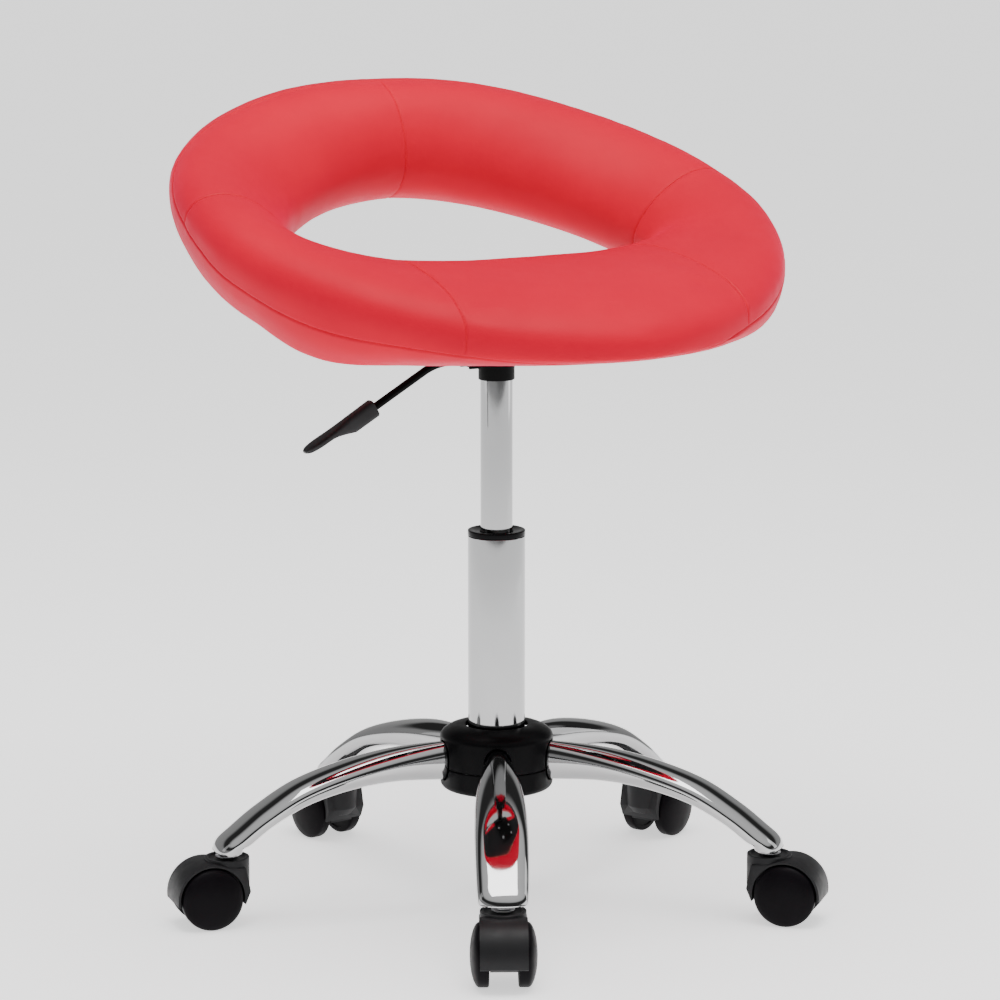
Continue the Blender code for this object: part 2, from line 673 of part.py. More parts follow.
def add_release_pin():
    head = CYLINDER_TOP - 0.0140
    place("release_pin", turned("pin", [
        (0.0, head - 0.0030), (0.0040, head - 0.0030), (0.0040, head), (PIN_RADIUS, head),
        (PIN_RADIUS, PIN_TOP - 0.0008), (PIN_RADIUS - 0.0008, PIN_TOP), (0.0, PIN_TOP)], 16), "steel")


# ---------------------------------------------------------------- seat ring
def edge_point(turn, half_width, front, back, widest, front_power, back_power):
    """A point on a plan outline: half super-ellipses before and behind its widest line."""
    across = math.sin(turn)
    along = -math.cos(turn)
    power = front_power if along < 0.0 else back_power
    depth = front + widest if along < 0.0 else back - widest
    x = half_width * math.copysign(abs(across) ** (2.0 / power), across)
    y = widest + depth * math.copysign(abs(along) ** (2.0 / power), along)
    return Vector((x, y, 0.0))


def blend(front, side, back, share):
    """A value that runs front, side, back as share goes from 0 to 1."""
    middle = 2.0 * side - (front + back) / 2.0
    return front * (1.0 - share) ** 2 + 2.0 * middle * share * (1.0 - share) + back * share ** 2


def middle_height(y):
    return sum(term * y ** power for power, term in enumerate(RISE))


def middle_slope(y):
    return sum(power * term * y ** (power - 1) for power, term in enumerate(RISE) if power)


def flat_share(turn):
    """1 where the underside is flat for the plate, 0 where it follows the seat's rise."""
    share = (1.0 - math.cos(turn)) / 2.0
    t = min(max((0.36 - share) / (0.36 - 0.10), 0.0), 1.0)
    return t * t * (3.0 - 2.0 * t)


def ring_frame(turn):
    """Centre line point, outward direction, half width, tilt and half thickness of the section."""
    share = (1.0 - math.cos(turn)) / 2.0
    outer = edge_point(turn, SEAT_HALF_WIDTH, SEAT_FRONT, SEAT_BACK, SEAT_WIDEST,
                       SEAT_FRONT_POWER, SEAT_BACK_POWER)
    inner = edge_point(turn, HOLE_HALF_WIDTH, HOLE_FRONT, HOLE_BACK, HOLE_WIDEST,
                       HOLE_FRONT_POWER, HOLE_BACK_POWER)
    half = (outer - inner) / 2.0
    return ((outer + inner) / 2.0, half.normalized(), half.length, blend(*TILT, share),
            blend(*THICKNESS, share) / 2.0, flat_share(turn))


def section_power(frame):
    front, rest = SECTION_POWERS
    return rest + (front - rest) * frame[5]


def section_point(frame, across, up):
    """across runs -1 at the hole to 1 at the outer edge, up runs -1 underneath to 1 on top."""
    centre, outward, half_width, tilt, half_thick, flat = frame
    point = centre + outward * (across * half_width)
    slope = middle_slope(point.y)
    middle = middle_height(point.y) + tilt * across * half_width
    lift = half_thick / math.sqrt(1.0 + slope * slope)
    point.y -= slope * lift * up
    if up >= 0.0:
        point.z = middle + lift * up
    else:
        lowest = (1.0 - flat) * (middle - lift) + flat * UNDERSIDE
        point.z = middle + (middle - lowest) * up
    return point


def outside_section(power):
    """The cushion's outside from the board's outer edge, round over the top, to its inner edge."""
    points = []
    steps = 16
    first = math.radians(LEATHER_EDGE)
    for i in range(steps + 1):
        angle = first + (math.radians(180.0) - 2.0 * first) * i / steps
        c, s = math.cos(angle), math.sin(angle)
        across = math.copysign(abs(c) ** (2.0 / power), c)
        up = math.copysign(abs(s) ** (2.0 / power), s)
        points.append((across, max(-1.0, SQUARENESS * up) if up < 0.0 else up))
    return points


def in_metres(frame, points):
    """Section points given as (share across, metres above the underside)."""
    result = []
    for across, height in points:
        base = section_point(frame, across, -1.0)
        base.z += height
        result.append(base)
    return result


def ring_mesh(name, section):
    """Sweep a section function once round the seat."""
    rings = [section(ring_frame(TAU * i / STATIONS)) for i in range(STATIONS)]
    return lofted(name, rings, closed_path=True)


def cushion_section(frame):
    """Crowned outside, with a recess underneath that holds the board and its cover."""
    outside = [section_point(frame, across, up) for across, up in outside_section(section_power(frame))]
    recess = BOARD_THICK + COVER_THICK + 3.0 * GAP
    edge = BOARD_SPAN + GAP / frame[2]
    return outside + in_metres(frame, [(-edge, 0.0), (-edge, recess), (edge, recess), (edge, 0.0)])


def board_section(frame):
    low = COVER_THICK + 2.0 * GAP
    high = low + BOARD_THICK
    return in_metres(frame, [(-BOARD_SPAN, low), (-BOARD_SPAN, high),
                             (BOARD_SPAN, high), (BOARD_SPAN, low)])


def cover_section(frame):
    span = BOARD_SPAN - 0.01
    high = GAP + COVER_THICK
    return in_metres(frame, [(span, GAP), (span, high), (-span, high), (-span, GAP)])


def add_seat(holes):
    place("cushion", ring_mesh("cushion", cushion_section), "red_leather")
    board = place("seat_board", ring_mesh("board", board_section), "plywood")
    cover = place("dust_cover", ring_mesh("dust_cover", cover_section), "black_felt")
    combine(board, holes, "DIFFERENCE")
    combine(cover, holes, "DIFFERENCE")


# ---------------------------------------------------------------- the stool
def main():
    clear_scene()
    axis_empty("column_axis", COLUMN_AXIS)
    for k in range(LEG_COUNT):
        angle = BASE_TURN + TAU * k / LEG_COUNT
        add_leg(k + 1, angle)
        add_castor(k + 1, angle)
    add_hub()
    add_column()
    add_gas_lift()
    add_socket()
    holes = hidden("bolt_holes", bolt_holes())
    add_plate(holes)
    add_bolts()
    bracket_hole = add_lever_bracket()
    add_lever(bracket_hole)
    add_release_pin()
    add_seat(holes)


main()
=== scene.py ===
"""Adjustable swivel stool: leather ring seat, gas lift, chrome five-leg base on twin-wheel castors."""

import math

import bmesh
import bpy
import numpy as np
from mathutils import Matrix, Vector, noise


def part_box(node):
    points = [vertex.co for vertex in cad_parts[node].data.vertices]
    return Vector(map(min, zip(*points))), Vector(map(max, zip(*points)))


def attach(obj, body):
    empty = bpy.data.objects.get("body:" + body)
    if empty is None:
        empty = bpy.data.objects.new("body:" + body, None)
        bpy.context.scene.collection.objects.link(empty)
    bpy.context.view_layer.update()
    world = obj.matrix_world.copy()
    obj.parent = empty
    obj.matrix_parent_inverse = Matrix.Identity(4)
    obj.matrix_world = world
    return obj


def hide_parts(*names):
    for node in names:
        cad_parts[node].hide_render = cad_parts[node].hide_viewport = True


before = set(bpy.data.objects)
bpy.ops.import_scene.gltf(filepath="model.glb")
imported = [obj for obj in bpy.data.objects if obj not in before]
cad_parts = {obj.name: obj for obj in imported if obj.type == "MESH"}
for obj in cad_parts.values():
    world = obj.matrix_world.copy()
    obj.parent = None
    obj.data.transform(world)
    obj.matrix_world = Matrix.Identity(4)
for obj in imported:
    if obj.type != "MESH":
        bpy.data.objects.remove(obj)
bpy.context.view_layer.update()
TAU = 2.0 * math.pi


def middle(node):
    low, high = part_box(node)
    return [(a + b) / 2.0 for a, b in zip(low, high)]


COLUMN = Vector((middle("column_tube")[0], middle("column_tube")[1], 0.0))
FACING = math.radians(28.0)           # the seat's front, turned from the camera's side
LEG_ANGLES = [math.radians(-116.7 + 72.0 * k) for k in range(5)]


# ---------------------------------------------------------------- camera
CAMERA_LENS = 143.5                   # mm, on a 36 mm sensor
CAMERA_DISTANCE, CAMERA_SHIFT, CAMERA_HEIGHT = 2.925, 0.0026, 0.844
CAMERA_DIP = 10.42                    # degrees below the horizontal


def add_camera():
    """Straight at the column, a little above the seat."""
    data = bpy.data.cameras.new("camera")
    data.lens = CAMERA_LENS
    data.sensor_width = 36.0
    camera = bpy.data.objects.new("camera", data)
    bpy.context.scene.collection.objects.link(camera)
    back = Vector((-math.sin(FACING), -math.cos(FACING), 0.0))
    right = Vector((math.cos(FACING), -math.sin(FACING), 0.0))
    camera.location = (COLUMN + back * CAMERA_DISTANCE + right * CAMERA_SHIFT
                       + Vector((0.0, 0.0, CAMERA_HEIGHT)))
    camera.rotation_euler = (math.radians(90.0 - CAMERA_DIP), 0.0, -FACING)
    bpy.context.scene.camera = camera


# ---------------------------------------------------------------- node helpers
class Shader:
    """A Principled material that is built up one node at a time."""

    def __init__(self, name):
        self.mat = bpy.data.materials.new(name)
        self.mat.use_nodes = True
        self.tree = self.mat.node_tree
        self.bsdf = self.tree.nodes["Principled BSDF"]
        coords = self.tree.nodes.new("ShaderNodeTexCoord")
        self.place = coords.outputs["Object"]

    def set(self, **values):
        for key, value in values.items():
            self.bsdf.inputs[key.replace("_", " ")].default_value = value
        return self

    def link(self, source, target):
        self.tree.links.new(source, target)

    def noise(self, scale, detail=4.0, rough=0.55, distortion=0.0):
        node = self.tree.nodes.new("ShaderNodeTexNoise")
        node.inputs["Scale"].default_value = scale
        node.inputs["Detail"].default_value = detail
        node.inputs["Roughness"].default_value = rough
        node.inputs["Distortion"].default_value = distortion
        self.link(self.place, node.inputs["Vector"])
        return node.outputs["Fac"]

    def cells(self, scale, feature="DISTANCE_TO_EDGE", vector=None):
        node = self.tree.nodes.new("ShaderNodeTexVoronoi")
        node.feature = feature
        node.inputs["Scale"].default_value = scale
        self.link(vector or self.place, node.inputs["Vector"])
        return node.outputs["Distance"]

    def scaled(self, factors):
        node = self.tree.nodes.new("ShaderNodeMapping")
        node.inputs["Scale"].default_value = factors
        self.link(self.place, node.inputs["Vector"])
        return node.outputs["Vector"]

    def span(self, value, low, high, from_low=0.3, from_high=0.7):
        node = self.tree.nodes.new("ShaderNodeMapRange")
        node.inputs["From Min"].default_value = from_low
        node.inputs["From Max"].default_value = from_high
        node.inputs["To Min"].default_value = low
        node.inputs["To Max"].default_value = high
        self.link(value, node.inputs["Value"])
        return node.outputs["Result"]

    def ramp(self, value, stops):
        node = self.tree.nodes.new("ShaderNodeValToRGB")
        ramp = node.color_ramp
        ramp.elements[0].position, ramp.elements[1].position = stops[0][0], stops[-1][0]
        for position, _ in stops[1:-1]:
            ramp.elements.new(position)
        for element, (_, colour) in zip(ramp.elements, stops):
            element.color = (*colour, 1.0)
        self.link(value, node.inputs["Fac"])
        return node.outputs["Color"]

    def bump(self, height, strength, distance, below=None):
        node = self.tree.nodes.new("ShaderNodeBump")
        node.inputs["Strength"].default_value = strength
        node.inputs["Distance"].default_value = distance
        self.link(height, node.inputs["Height"])
        if below is not None:
            self.link(below, node.inputs["Normal"])
        return node.outputs["Normal"]

    def finish(self, colour=None, roughness=None, normal=None):
        for socket, name in ((colour, "Base Color"), (roughness, "Roughness"), (normal, "Normal")):
            if socket is not None:
                self.link(socket, self.bsdf.inputs[name])
        return self.mat


def tinted(colour, factor):
    return tuple(c * factor for c in colour)


def leather(name, colour, grain=820.0):
    """Coated leather: shallow grain, finer pores in it, slow changes of tone."""
    s = Shader(name)
    s.set(Specular_IOR_Level=0.05, Sheen_Weight=0.36, Sheen_Roughness=0.42,
          Sheen_Tint=(1.0, 0.0, 0.14, 1.0))
    tone = s.ramp(s.noise(9.0, 3.0), [(0.30, tinted(colour, 0.93)), (0.70, tinted(colour, 1.05))])
    rough = s.span(s.noise(55.0, 4.0), 0.38, 0.46)
    grain_height = s.span(s.cells(grain), 0.0, 1.0, 0.0, 0.12)
    normal = s.bump(grain_height, 0.16, 0.00025)
    normal = s.bump(s.noise(2600.0, 3.0), 0.10, 0.00012, normal)
    normal = s.bump(s.noise(34.0, 3.0), 0.16, 0.0012, normal)
    return s.finish(tone, rough, normal)


def plastic(name, colour, roughness, texture=900.0, depth=0.12, gloss=0.14):
    """Moulded plastic with a fine spark-eroded skin and faint flow marks."""
    s = Shader(name)
    s.set(Specular_IOR_Level=gloss)
    tone = s.ramp(s.noise(40.0, 3.0), [(0.30, tinted(colour, 0.85)), (0.70, tinted(colour, 1.20))])
    rough = s.span(s.noise(120.0, 5.0), roughness - 0.05, roughness + 0.07)
    normal = s.bump(s.noise(texture, 3.0), depth, 0.00018)
    normal = s.bump(s.noise(26.0, 2.0), 0.08, 0.0008, normal)
    return s.finish(tone, rough, normal)


def chrome(name, roughness=0.06, level=0.82):
    """Bright plate: faint orange peel, hairline polishing marks and uneven gloss."""
    s = Shader(name)
    s.set(Metallic=1.0)
    base = (level, level * 1.003, level * 1.01)
    tone = s.ramp(s.noise(22.0, 3.0), [(0.30, tinted(base, 0.96)), (0.70, base)])
    rough = s.span(s.noise(60.0, 6.0, 0.65), roughness * 0.7, roughness * 1.5)
    normal = s.bump(s.noise(30.0, 2.0), 0.05, 0.0006)
    hair = s.tree.nodes.new("ShaderNodeTexNoise")
    hair.inputs["Scale"].default_value = 60.0
    hair.inputs["Detail"].default_value = 2.0
    s.link(s.scaled((40.0, 40.0, 1.0)), hair.inputs["Vector"])
    normal = s.bump(hair.outputs["Fac"], 0.012, 0.0001, normal)
    return s.finish(tone, rough, normal)


def steel(name, level=0.45, roughness=0.32):
    s = Shader(name)
    s.set(Metallic=1.0)
    base = (level, level, level * 1.02)
    tone = s.ramp(s.noise(70.0, 5.0), [(0.30, tinted(base, 0.80)), (0.70, tinted(base, 1.10))])
    rough = s.span(s.noise(140.0, 5.0), roughness * 0.8, roughness * 1.3)
    return s.finish(tone, rough, s.bump(s.noise(500.0, 3.0), 0.10, 0.0002))


def powder_coat(name, colour, roughness=0.42):
    s = Shader(name)
    s.set(Specular_IOR_Level=0.05)
    tone = s.ramp(s.noise(60.0, 4.0), [(0.30, tinted(colour, 0.85)), (0.70, tinted(colour, 1.15))])
    rough = s.span(s.noise(90.0, 4.0), roughness - 0.06, roughness + 0.06)
    return s.finish(tone, rough, s.bump(s.noise(1500.0, 2.0), 0.22, 0.0003))


def plywood(name):
    s = Shader(name)
    layers = s.tree.nodes.new("ShaderNodeTexWave")
    layers.bands_direction = "Z"
    layers.inputs["Scale"].default_value = 110.0
    layers.inputs["Distortion"].default_value = 1.5
    s.link(s.place, layers.inputs["Vector"])
    tone = s.ramp(layers.outputs["Fac"], [(0.2, (0.30, 0.19, 0.10)), (0.8, (0.58, 0.42, 0.26))])
    grain = s.tree.nodes.new("ShaderNodeTexNoise")
    grain.inputs["Scale"].default_value = 30.0
    s.link(s.scaled((1.0, 14.0, 1.0)), grain.inputs["Vector"])
    return s.finish(tone, s.span(grain.outputs["Fac"], 0.55, 0.75), s.bump(grain.outputs["Fac"], 0.3, 0.0004))


def felt(name):
    s = Shader(name)
    s.set(Specular_IOR_Level=0.10, Sheen_Weight=0.08, Sheen_Roughness=0.6)
    tone = s.ramp(s.noise(300.0, 6.0, 0.7), [(0.30, (0.003, 0.003, 0.0035)), (0.70, (0.012, 0.012, 0.013))])
    normal = s.bump(s.noise(900.0, 4.0, 0.7), 0.5, 0.0006)
    return s.finish(tone, s.span(s.noise(100.0), 0.85, 0.98), normal)


# ---------------------------------------------------------------- mesh helpers
def link_object(name, mesh, material=None):
    obj = bpy.data.objects.new(name, mesh)
    bpy.context.scene.collection.objects.link(obj)
    if material is not None:
        mesh.materials.clear()
        mesh.materials.append(material)
    return obj


def to_mesh(bm, name, sharp=35.0):
    bmesh.ops.recalc_face_normals(bm, faces=bm.faces)
    mesh = bpy.data.meshes.new(name)
    bm.to_mesh(mesh)
    bm.free()
    mesh.shade_smooth()
    mesh.set_sharp_from_angle(angle=math.radians(sharp))
    return mesh


def bridge(bm, first, second):
    count = max(len(first), len(second))
    if count < 2:
        return
    for i in range(count):
        j = (i + 1) % count
        corners = [first[i % len(first)], first[j % len(first)],
                   second[j % len(second)], second[i % len(second)]]
        bm.faces.new(list(dict.fromkeys(corners)))


def turned(name, profile, segments=96, loop=False, sharp=35.0):
    bm = bmesh.new()
    rings = []
    for radius, height in profile:
        if radius < 1e-7:
            rings.append([bm.verts.new((0.0, 0.0, height))])
            continue
        rings.append([bm.verts.new((radius * math.cos(TAU * i / segments),
                                    radius * math.sin(TAU * i / segments), height))
                      for i in range(segments)])
    for first, second in zip(rings, rings[1:] + (rings[:1] if loop else [])):
        bridge(bm, first, second)
    return to_mesh(bm, name, sharp)


def lofted(name, rings, closed_path=False, sharp=35.0):
    bm = bmesh.new()
    made = [[bm.verts.new(point) for point in ring] for ring in rings]
    for first, second in zip(made, made[1:] + (made[:1] if closed_path else [])):
        bridge(bm, first, second)
    if not closed_path:
        for end in (made[0], made[-1]):
            if len(end) > 2:
                bm.faces.new(end)
    return to_mesh(bm, name, sharp)


def rounded(profile, radius, steps=4, closed=False):
    """Round the corners of a polyline by about radius."""
    result = []
    count = len(profile)
    for i, point in enumerate(profile):
        if not closed and i in (0, count - 1):
            result.append(tuple(point))
            continue
        here = Vector(point)
        before = Vector(profile[i - 1]) - here
        after = Vector(profile[(i + 1) % count]) - here
        reach = min(radius, before.length * 0.45, after.length * 0.45)
        bend = math.pi - before.angle(after) if before.length and after.length else 0.0
        if bend < math.radians(12.0) or reach < 1e-6:
            result.append(tuple(point))
            continue
        start = here + before.normalized() * reach
        end = here + after.normalized() * reach
        for k in range(steps + 1):
            t = k / steps
            result.append(tuple(start * (1 - t) ** 2 + here * 2 * t * (1 - t) + end * t * t))
    return result


def arc(centre, radius, start, end, count):
    return [(centre[0] + radius * math.cos(math.radians(start + (end - start) * i / count)),
             centre[1] + radius * math.sin(math.radians(start + (end - start) * i / count)))
            for i in range(count + 1)]


def extruded(name, outline, low, high, axis="Z"):
    def point(a, b, c):
        return (a, b, c) if axis == "Z" else (a, c, b)

    return lofted(name, [[point(a, b, level) for a, b in outline] for level in (low, high)])


def super_ellipse(half_a, half_b, power, count):
    points = []
    for i in range(count):
        c, s = math.cos(TAU * i / count), math.sin(TAU * i / count)
        points.append((half_a * math.copysign(abs(c) ** (2.0 / power), c),
                       half_b * math.copysign(abs(s) ** (2.0 / power), s)))
    return points


def catmull_rom(rows, per_span):
    padded = [rows[0]] + list(rows) + [rows[-1]]
    result = []
    for k in range(1, len(padded) - 2):
        for step in range(per_span):
            t = step / per_span
            result.append(tuple(
                0.5 * (2 * p1 + (p2 - p0) * t + (2 * p0 - 5 * p1 + 4 * p2 - p3) * t * t
                       + (3 * p1 - p0 - 3 * p2 + p3) * t ** 3)
                for p0, p1, p2, p3 in zip(*padded[k - 1:k + 3])))
    result.append(tuple(rows[-1]))
    return result


def carve(name, base, steps, bevel=0.0, sharp=35.0):
    """base with Boolean steps [(operation, mesh)] and rounded edges, all applied to the mesh."""
    obj = link_object(name, base)
    helpers = []
    for operation, mesh in steps:
        helper = link_object(f"{name}_helper", mesh)
        helpers.append(helper)
        mod = obj.modifiers.new(operation, "BOOLEAN")
        mod.operation = operation
        mod.solver = "EXACT"
        mod.object = helper
    if bevel:
        mod = obj.modifiers.new("round", "BEVEL")
        mod.width = bevel
        mod.segments = 3
        mod.limit_method = "ANGLE"
        mod.angle_limit = math.radians(38.0)
        mod.harden_normals = False
    bpy.context.view_layer.update()
    result = bpy.data.meshes.new_from_object(obj.evaluated_get(bpy.context.evaluated_depsgraph_get()))
    for helper in helpers + [obj]:
        bpy.data.objects.remove(helper, do_unlink=True)
    result.name = name
    result.shade_smooth()
    result.set_sharp_from_angle(angle=math.radians(sharp))
    return result


def piece(name, mesh, material, body, nodes=(), matrix=None):
    """A finished piece: placed, painted, riding on its body and standing for its CAD nodes."""
    obj = link_object(name, mesh, material)
    obj.matrix_world = matrix if matrix is not None else Matrix.Translation(COLUMN)
    bpy.context.view_layer.update()
    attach(obj, body)
    if nodes:
        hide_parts(*nodes)
    return obj


def repaint(node, material):
    """Give a CAD node that stays visible its detailed material."""
    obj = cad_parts[node]
    obj.data.materials.clear()
    obj.data.materials.append(material)


# ---------------------------------------------------------------- materials
RED = leather("red_leather", (0.610, 0.000, 0.024))
CHROME = chrome("chrome_plate", 0.055, 0.43)
CHROME_ROD = chrome("chrome_cylinder", 0.075, 0.42)
HUB_BLACK = plastic("hub_plastic", (0.0035, 0.0035, 0.004), 0.34, gloss=0.05)
HOOD_BLACK = plastic("castor_hood_plastic", (0.009, 0.009, 0.010), 0.46, 700.0, 0.20, 0.22)
WHEEL_BLACK = plastic("castor_wheel_nylon", (0.0035, 0.0028, 0.0038), 0.42, gloss=0.06)
RING_BLACK = plastic("ring_gloss", (0.003, 0.003, 0.0035), 0.12, 500.0, 0.03, 0.07)
GRIP_BLACK = plastic("grip_plastic", (0.018, 0.018, 0.019), 0.45, 1300.0, 0.45, 0.25)
COATED = powder_coat("black_coated_steel", (0.0030, 0.0030, 0.0030))
STEEL = steel("plain_steel")
BOARD = plywood("seat_board_ply")
FELT = felt("dust_cover_cloth")
THREAD = leather("seam_thread", (0.62, 0.001, 0.017), 3000.0)


# ---------------------------------------------------------------- castors
TRAIL, WHEEL_R = 0.0155, 0.023
HOOD_R, HOOD_HALF = 0.0262, 0.0170
BARREL_R, BARREL_TOP = 0.0166, 0.0510
STEM_R = 0.0050
CASTOR_R = 0.2115


def castor_matrix(angle):
    spot = Matrix.Translation(COLUMN + Vector((CASTOR_R * math.cos(angle), CASTOR_R * math.sin(angle), 0.0)))
    return spot @ Matrix.Rotation(angle, 4, "Z")


def housing_mesh():
    """Hood over the wheels, run into a round barrel with a raised rim, rounded on every edge."""
    axle = (TRAIL, WHEEL_R)
    outline = arc(axle, HOOD_R, -8.0, 118.0, 34)
    outline += [(-0.0100, BARREL_TOP - 0.0060), (-0.0135, 0.0270), (-0.0095, 0.0175)]
    outline += arc(axle, HOOD_R - 0.0030, 190.0, 200.0, 1)
    outline += [(TRAIL, 0.0165), (TRAIL + HOOD_R - 0.0048, 0.0165)]
    hood = extruded("hood", outline, -HOOD_HALF, HOOD_HALF, axis="Y")
    rim = 0.0013
    barrel = turned("barrel", rounded([
        (0.0, 0.0215), (BARREL_R - 0.004, 0.0215), (BARREL_R, 0.0270),
        (BARREL_R, BARREL_TOP), (BARREL_R - 0.0024, BARREL_TOP),
        (BARREL_R - 0.0032, BARREL_TOP - rim), (0.0, BARREL_TOP - rim)], 0.0007), 72)
    cuts = []
    for side in (-1.0, 1.0):
        pocket = turned("pocket", [(0.0, 0.0), (0.0245, 0.0), (0.0245, 0.012), (0.0, 0.012)], 72)
        pocket.transform(Matrix.Translation((TRAIL, side * 0.0099, WHEEL_R))
                         @ Matrix.Rotation(math.radians(-90.0 * side), 4, "X"))
        cuts.append(("DIFFERENCE", pocket))
    bore = turned("bore", [(0.0, -0.012), (0.0033, -0.012), (0.0033, 0.012), (0.0, 0.012)], 24)
    bore.transform(Matrix.Translation((TRAIL, 0.0, WHEEL_R)) @ Matrix.Rotation(math.radians(90.0), 4, "X"))
    hole = STEM_R + 0.0003
    stem = turned("stem", [(0.0, 0.0317), (hole, 0.0317), (hole, 0.06), (0.0, 0.06)], 32)
    steps = [("UNION", barrel)] + cuts + [("DIFFERENCE", bore), ("DIFFERENCE", stem)]
    return carve("castor_hood", hood, steps, bevel=0.0009, sharp=50.0)


def wheel_mesh():
    """Twin castor wheel: rolled tread edge, a fine step where the cap meets it, a smooth domed face."""
    profile = [(0.0, 0.0074), (0.0033, 0.0074), (0.0033, 0.0), (0.0065, 0.0), (0.0065, 0.0008),
               (0.0190, 0.0008), (0.0190, 0.0)]
    profile += rounded([(0.0190, 0.0), (WHEEL_R, 0.0), (WHEEL_R, 0.0066)], 0.0016)[1:]
    for i in range(1, 20):
        rise = math.radians(90.0 * i / 20)
        profile.append((WHEEL_R * math.cos(rise), 0.0066 + 0.0070 * math.sin(rise)))
    profile.append((0.0, 0.0136))
    return turned("castor_wheel", profile, 96, sharp=40.0)


def stem_mesh():
    flange = BARREL_TOP + 0.0003
    return turned("castor_stem", rounded([
        (0.0, 0.0322), (STEM_R, 0.0322), (STEM_R, flange), (0.0085, flange), (0.0085, flange + 0.0010),
        (STEM_R, flange + 0.0010), (STEM_R, 0.0600), (0.0, 0.0600)], 0.0003, 2), 40)


def add_castors():
    housing, wheel, stem = housing_mesh(), wheel_mesh(), stem_mesh()
    axle = turned("castor_axle", rounded([(0.0, -0.0172), (0.0030, -0.0172), (0.0030, 0.0172),
                                          (0.0, 0.0172)], 0.0004, 2), 32)
    for k, angle in enumerate(LEG_ANGLES, start=1):
        at = castor_matrix(angle)
        hub = at @ Matrix.Translation((TRAIL, 0.0, WHEEL_R))
        piece(f"castor_{k}_hood", housing, HOOD_BLACK, f"castor_{k}",
              (f"castor_housing_{k}",), at)
        piece(f"castor_{k}_pin", axle, STEEL, f"castor_{k}", (f"castor_axle_{k}",),
              hub @ Matrix.Rotation(math.radians(90.0), 4, "X"))
        piece(f"castor_{k}_stem", stem, STEEL, "base", (f"castor_stem_{k}",), at)
        for label, side in (("a", 1.0), ("b", -1.0)):
            turn = Matrix.Translation((0.0, side * 0.0104, 0.0)) @ Matrix.Rotation(
                math.radians(-90.0 * side), 4, "X")
            piece(f"castor_{k}_wheel_{label}", wheel, WHEEL_BLACK, f"wheel_{k}{label}",
                  (f"castor_wheel_{k}{label}",), hub @ turn)


# ---------------------------------------------------------------- legs and hub
LEG_SECTIONS = [
    (0.0254, 0.1097, 90.0, 0.0145, 0.0088),
    (0.0430, 0.1100, 90.0, 0.0146, 0.0092),
    (0.0830, 0.1098, 86.0, 0.0124, 0.0150),
    (0.1200, 0.1045, 77.0, 0.0104, 0.0182),
    (0.1550, 0.0942, 67.0, 0.0091, 0.0193),
    (0.1830, 0.0790, 52.0, 0.0081, 0.0193),
    (0.2018, 0.0652, 32.0, 0.0086, 0.0188),
    (0.2092, 0.0600, 6.0, 0.0098, 0.0182),
    (0.2112, 0.0546, 0.0, 0.0100, 0.0176),
]
LEG_POWER = 2.3


def leg_ring(section, inset, count=56):
    radius, height, direction, half_thick, half_wide = section
    up = Vector((math.cos(math.radians(direction)), 0.0, math.sin(math.radians(direction))))
    centre = Vector((radius, 0.0, height))
    return [centre + up * a + Vector((0.0, b, 0.0))
            for a, b in super_ellipse(half_thick - inset, half_wide - inset, LEG_POWER, count)]


def leg_mesh():
    """One long squashed tube, open at the hub, with a small rolled edge at its foot."""
    sections = catmull_rom(LEG_SECTIONS, 8)
    inner = [leg_ring(s, 0.0016) for s in sections[:len(sections) - 22:6]]
    outer = [leg_ring(s, 0.0) for s in sections[:-2]]
    last = sections[-1]
    foot = (last[0], last[1] + 0.0009, last[2], last[3], last[4])
    outer += [leg_ring(foot, 0.0), leg_ring((last[0], last[1] + 0.0003) + last[2:], 0.0003),
              leg_ring(last, 0.0010)]
    leg = lofted("leg", list(reversed(inner)) + outer, sharp=40.0)
    hole = STEM_R + 0.0003
    bore = turned("bore", [(0.0, 0.045), (hole, 0.045), (hole, 0.0608), (0.0, 0.0608)], 32)
    bore.transform(Matrix.Translation((CASTOR_R, 0.0, 0.0)))
    return carve("leg", leg, [("DIFFERENCE", bore)], sharp=40.0)


def add_legs():
    mesh = leg_mesh()
    for k, angle in enumerate(LEG_ANGLES, start=1):
        piece(f"chrome_leg_{k}", mesh, CHROME, "base", (f"leg_{k}",),
              Matrix.Translation(COLUMN) @ Matrix.Rotation(angle, 4, "Z"))


HUB_R, HUB_TOP, HUB_OPENING = 0.0426, 0.1352, 0.0236
HUB_SHOULDER, HUB_SPLIT, HUB_FLOOR, HUB_WALL = 0.1258, 0.1040, 0.0868, 0.0020


def leg_passages():
    passages = []
    for angle in LEG_ANGLES:
        rings = []
        for radius in (0.0287, HUB_R + 0.010):
            outline = super_ellipse(0.0155, 0.0108, LEG_POWER, 56)
            rings.append([Vector((radius, b, 0.1098 + a)) for a, b in outline])
        passage = lofted("passage", rings)
        passage.transform(Matrix.Rotation(angle, 4, "Z"))
        passages.append(passage)
    return passages


def shoulder(inset, start, end, count):
    points = []
    for i in range(count + 1):
        angle = math.radians(start + (end - start) * i / count)
        points.append((HUB_OPENING + (HUB_R - HUB_OPENING - inset) * math.cos(angle),
                       HUB_SHOULDER + (HUB_TOP - HUB_SHOULDER - inset) * math.sin(angle)))
    return points


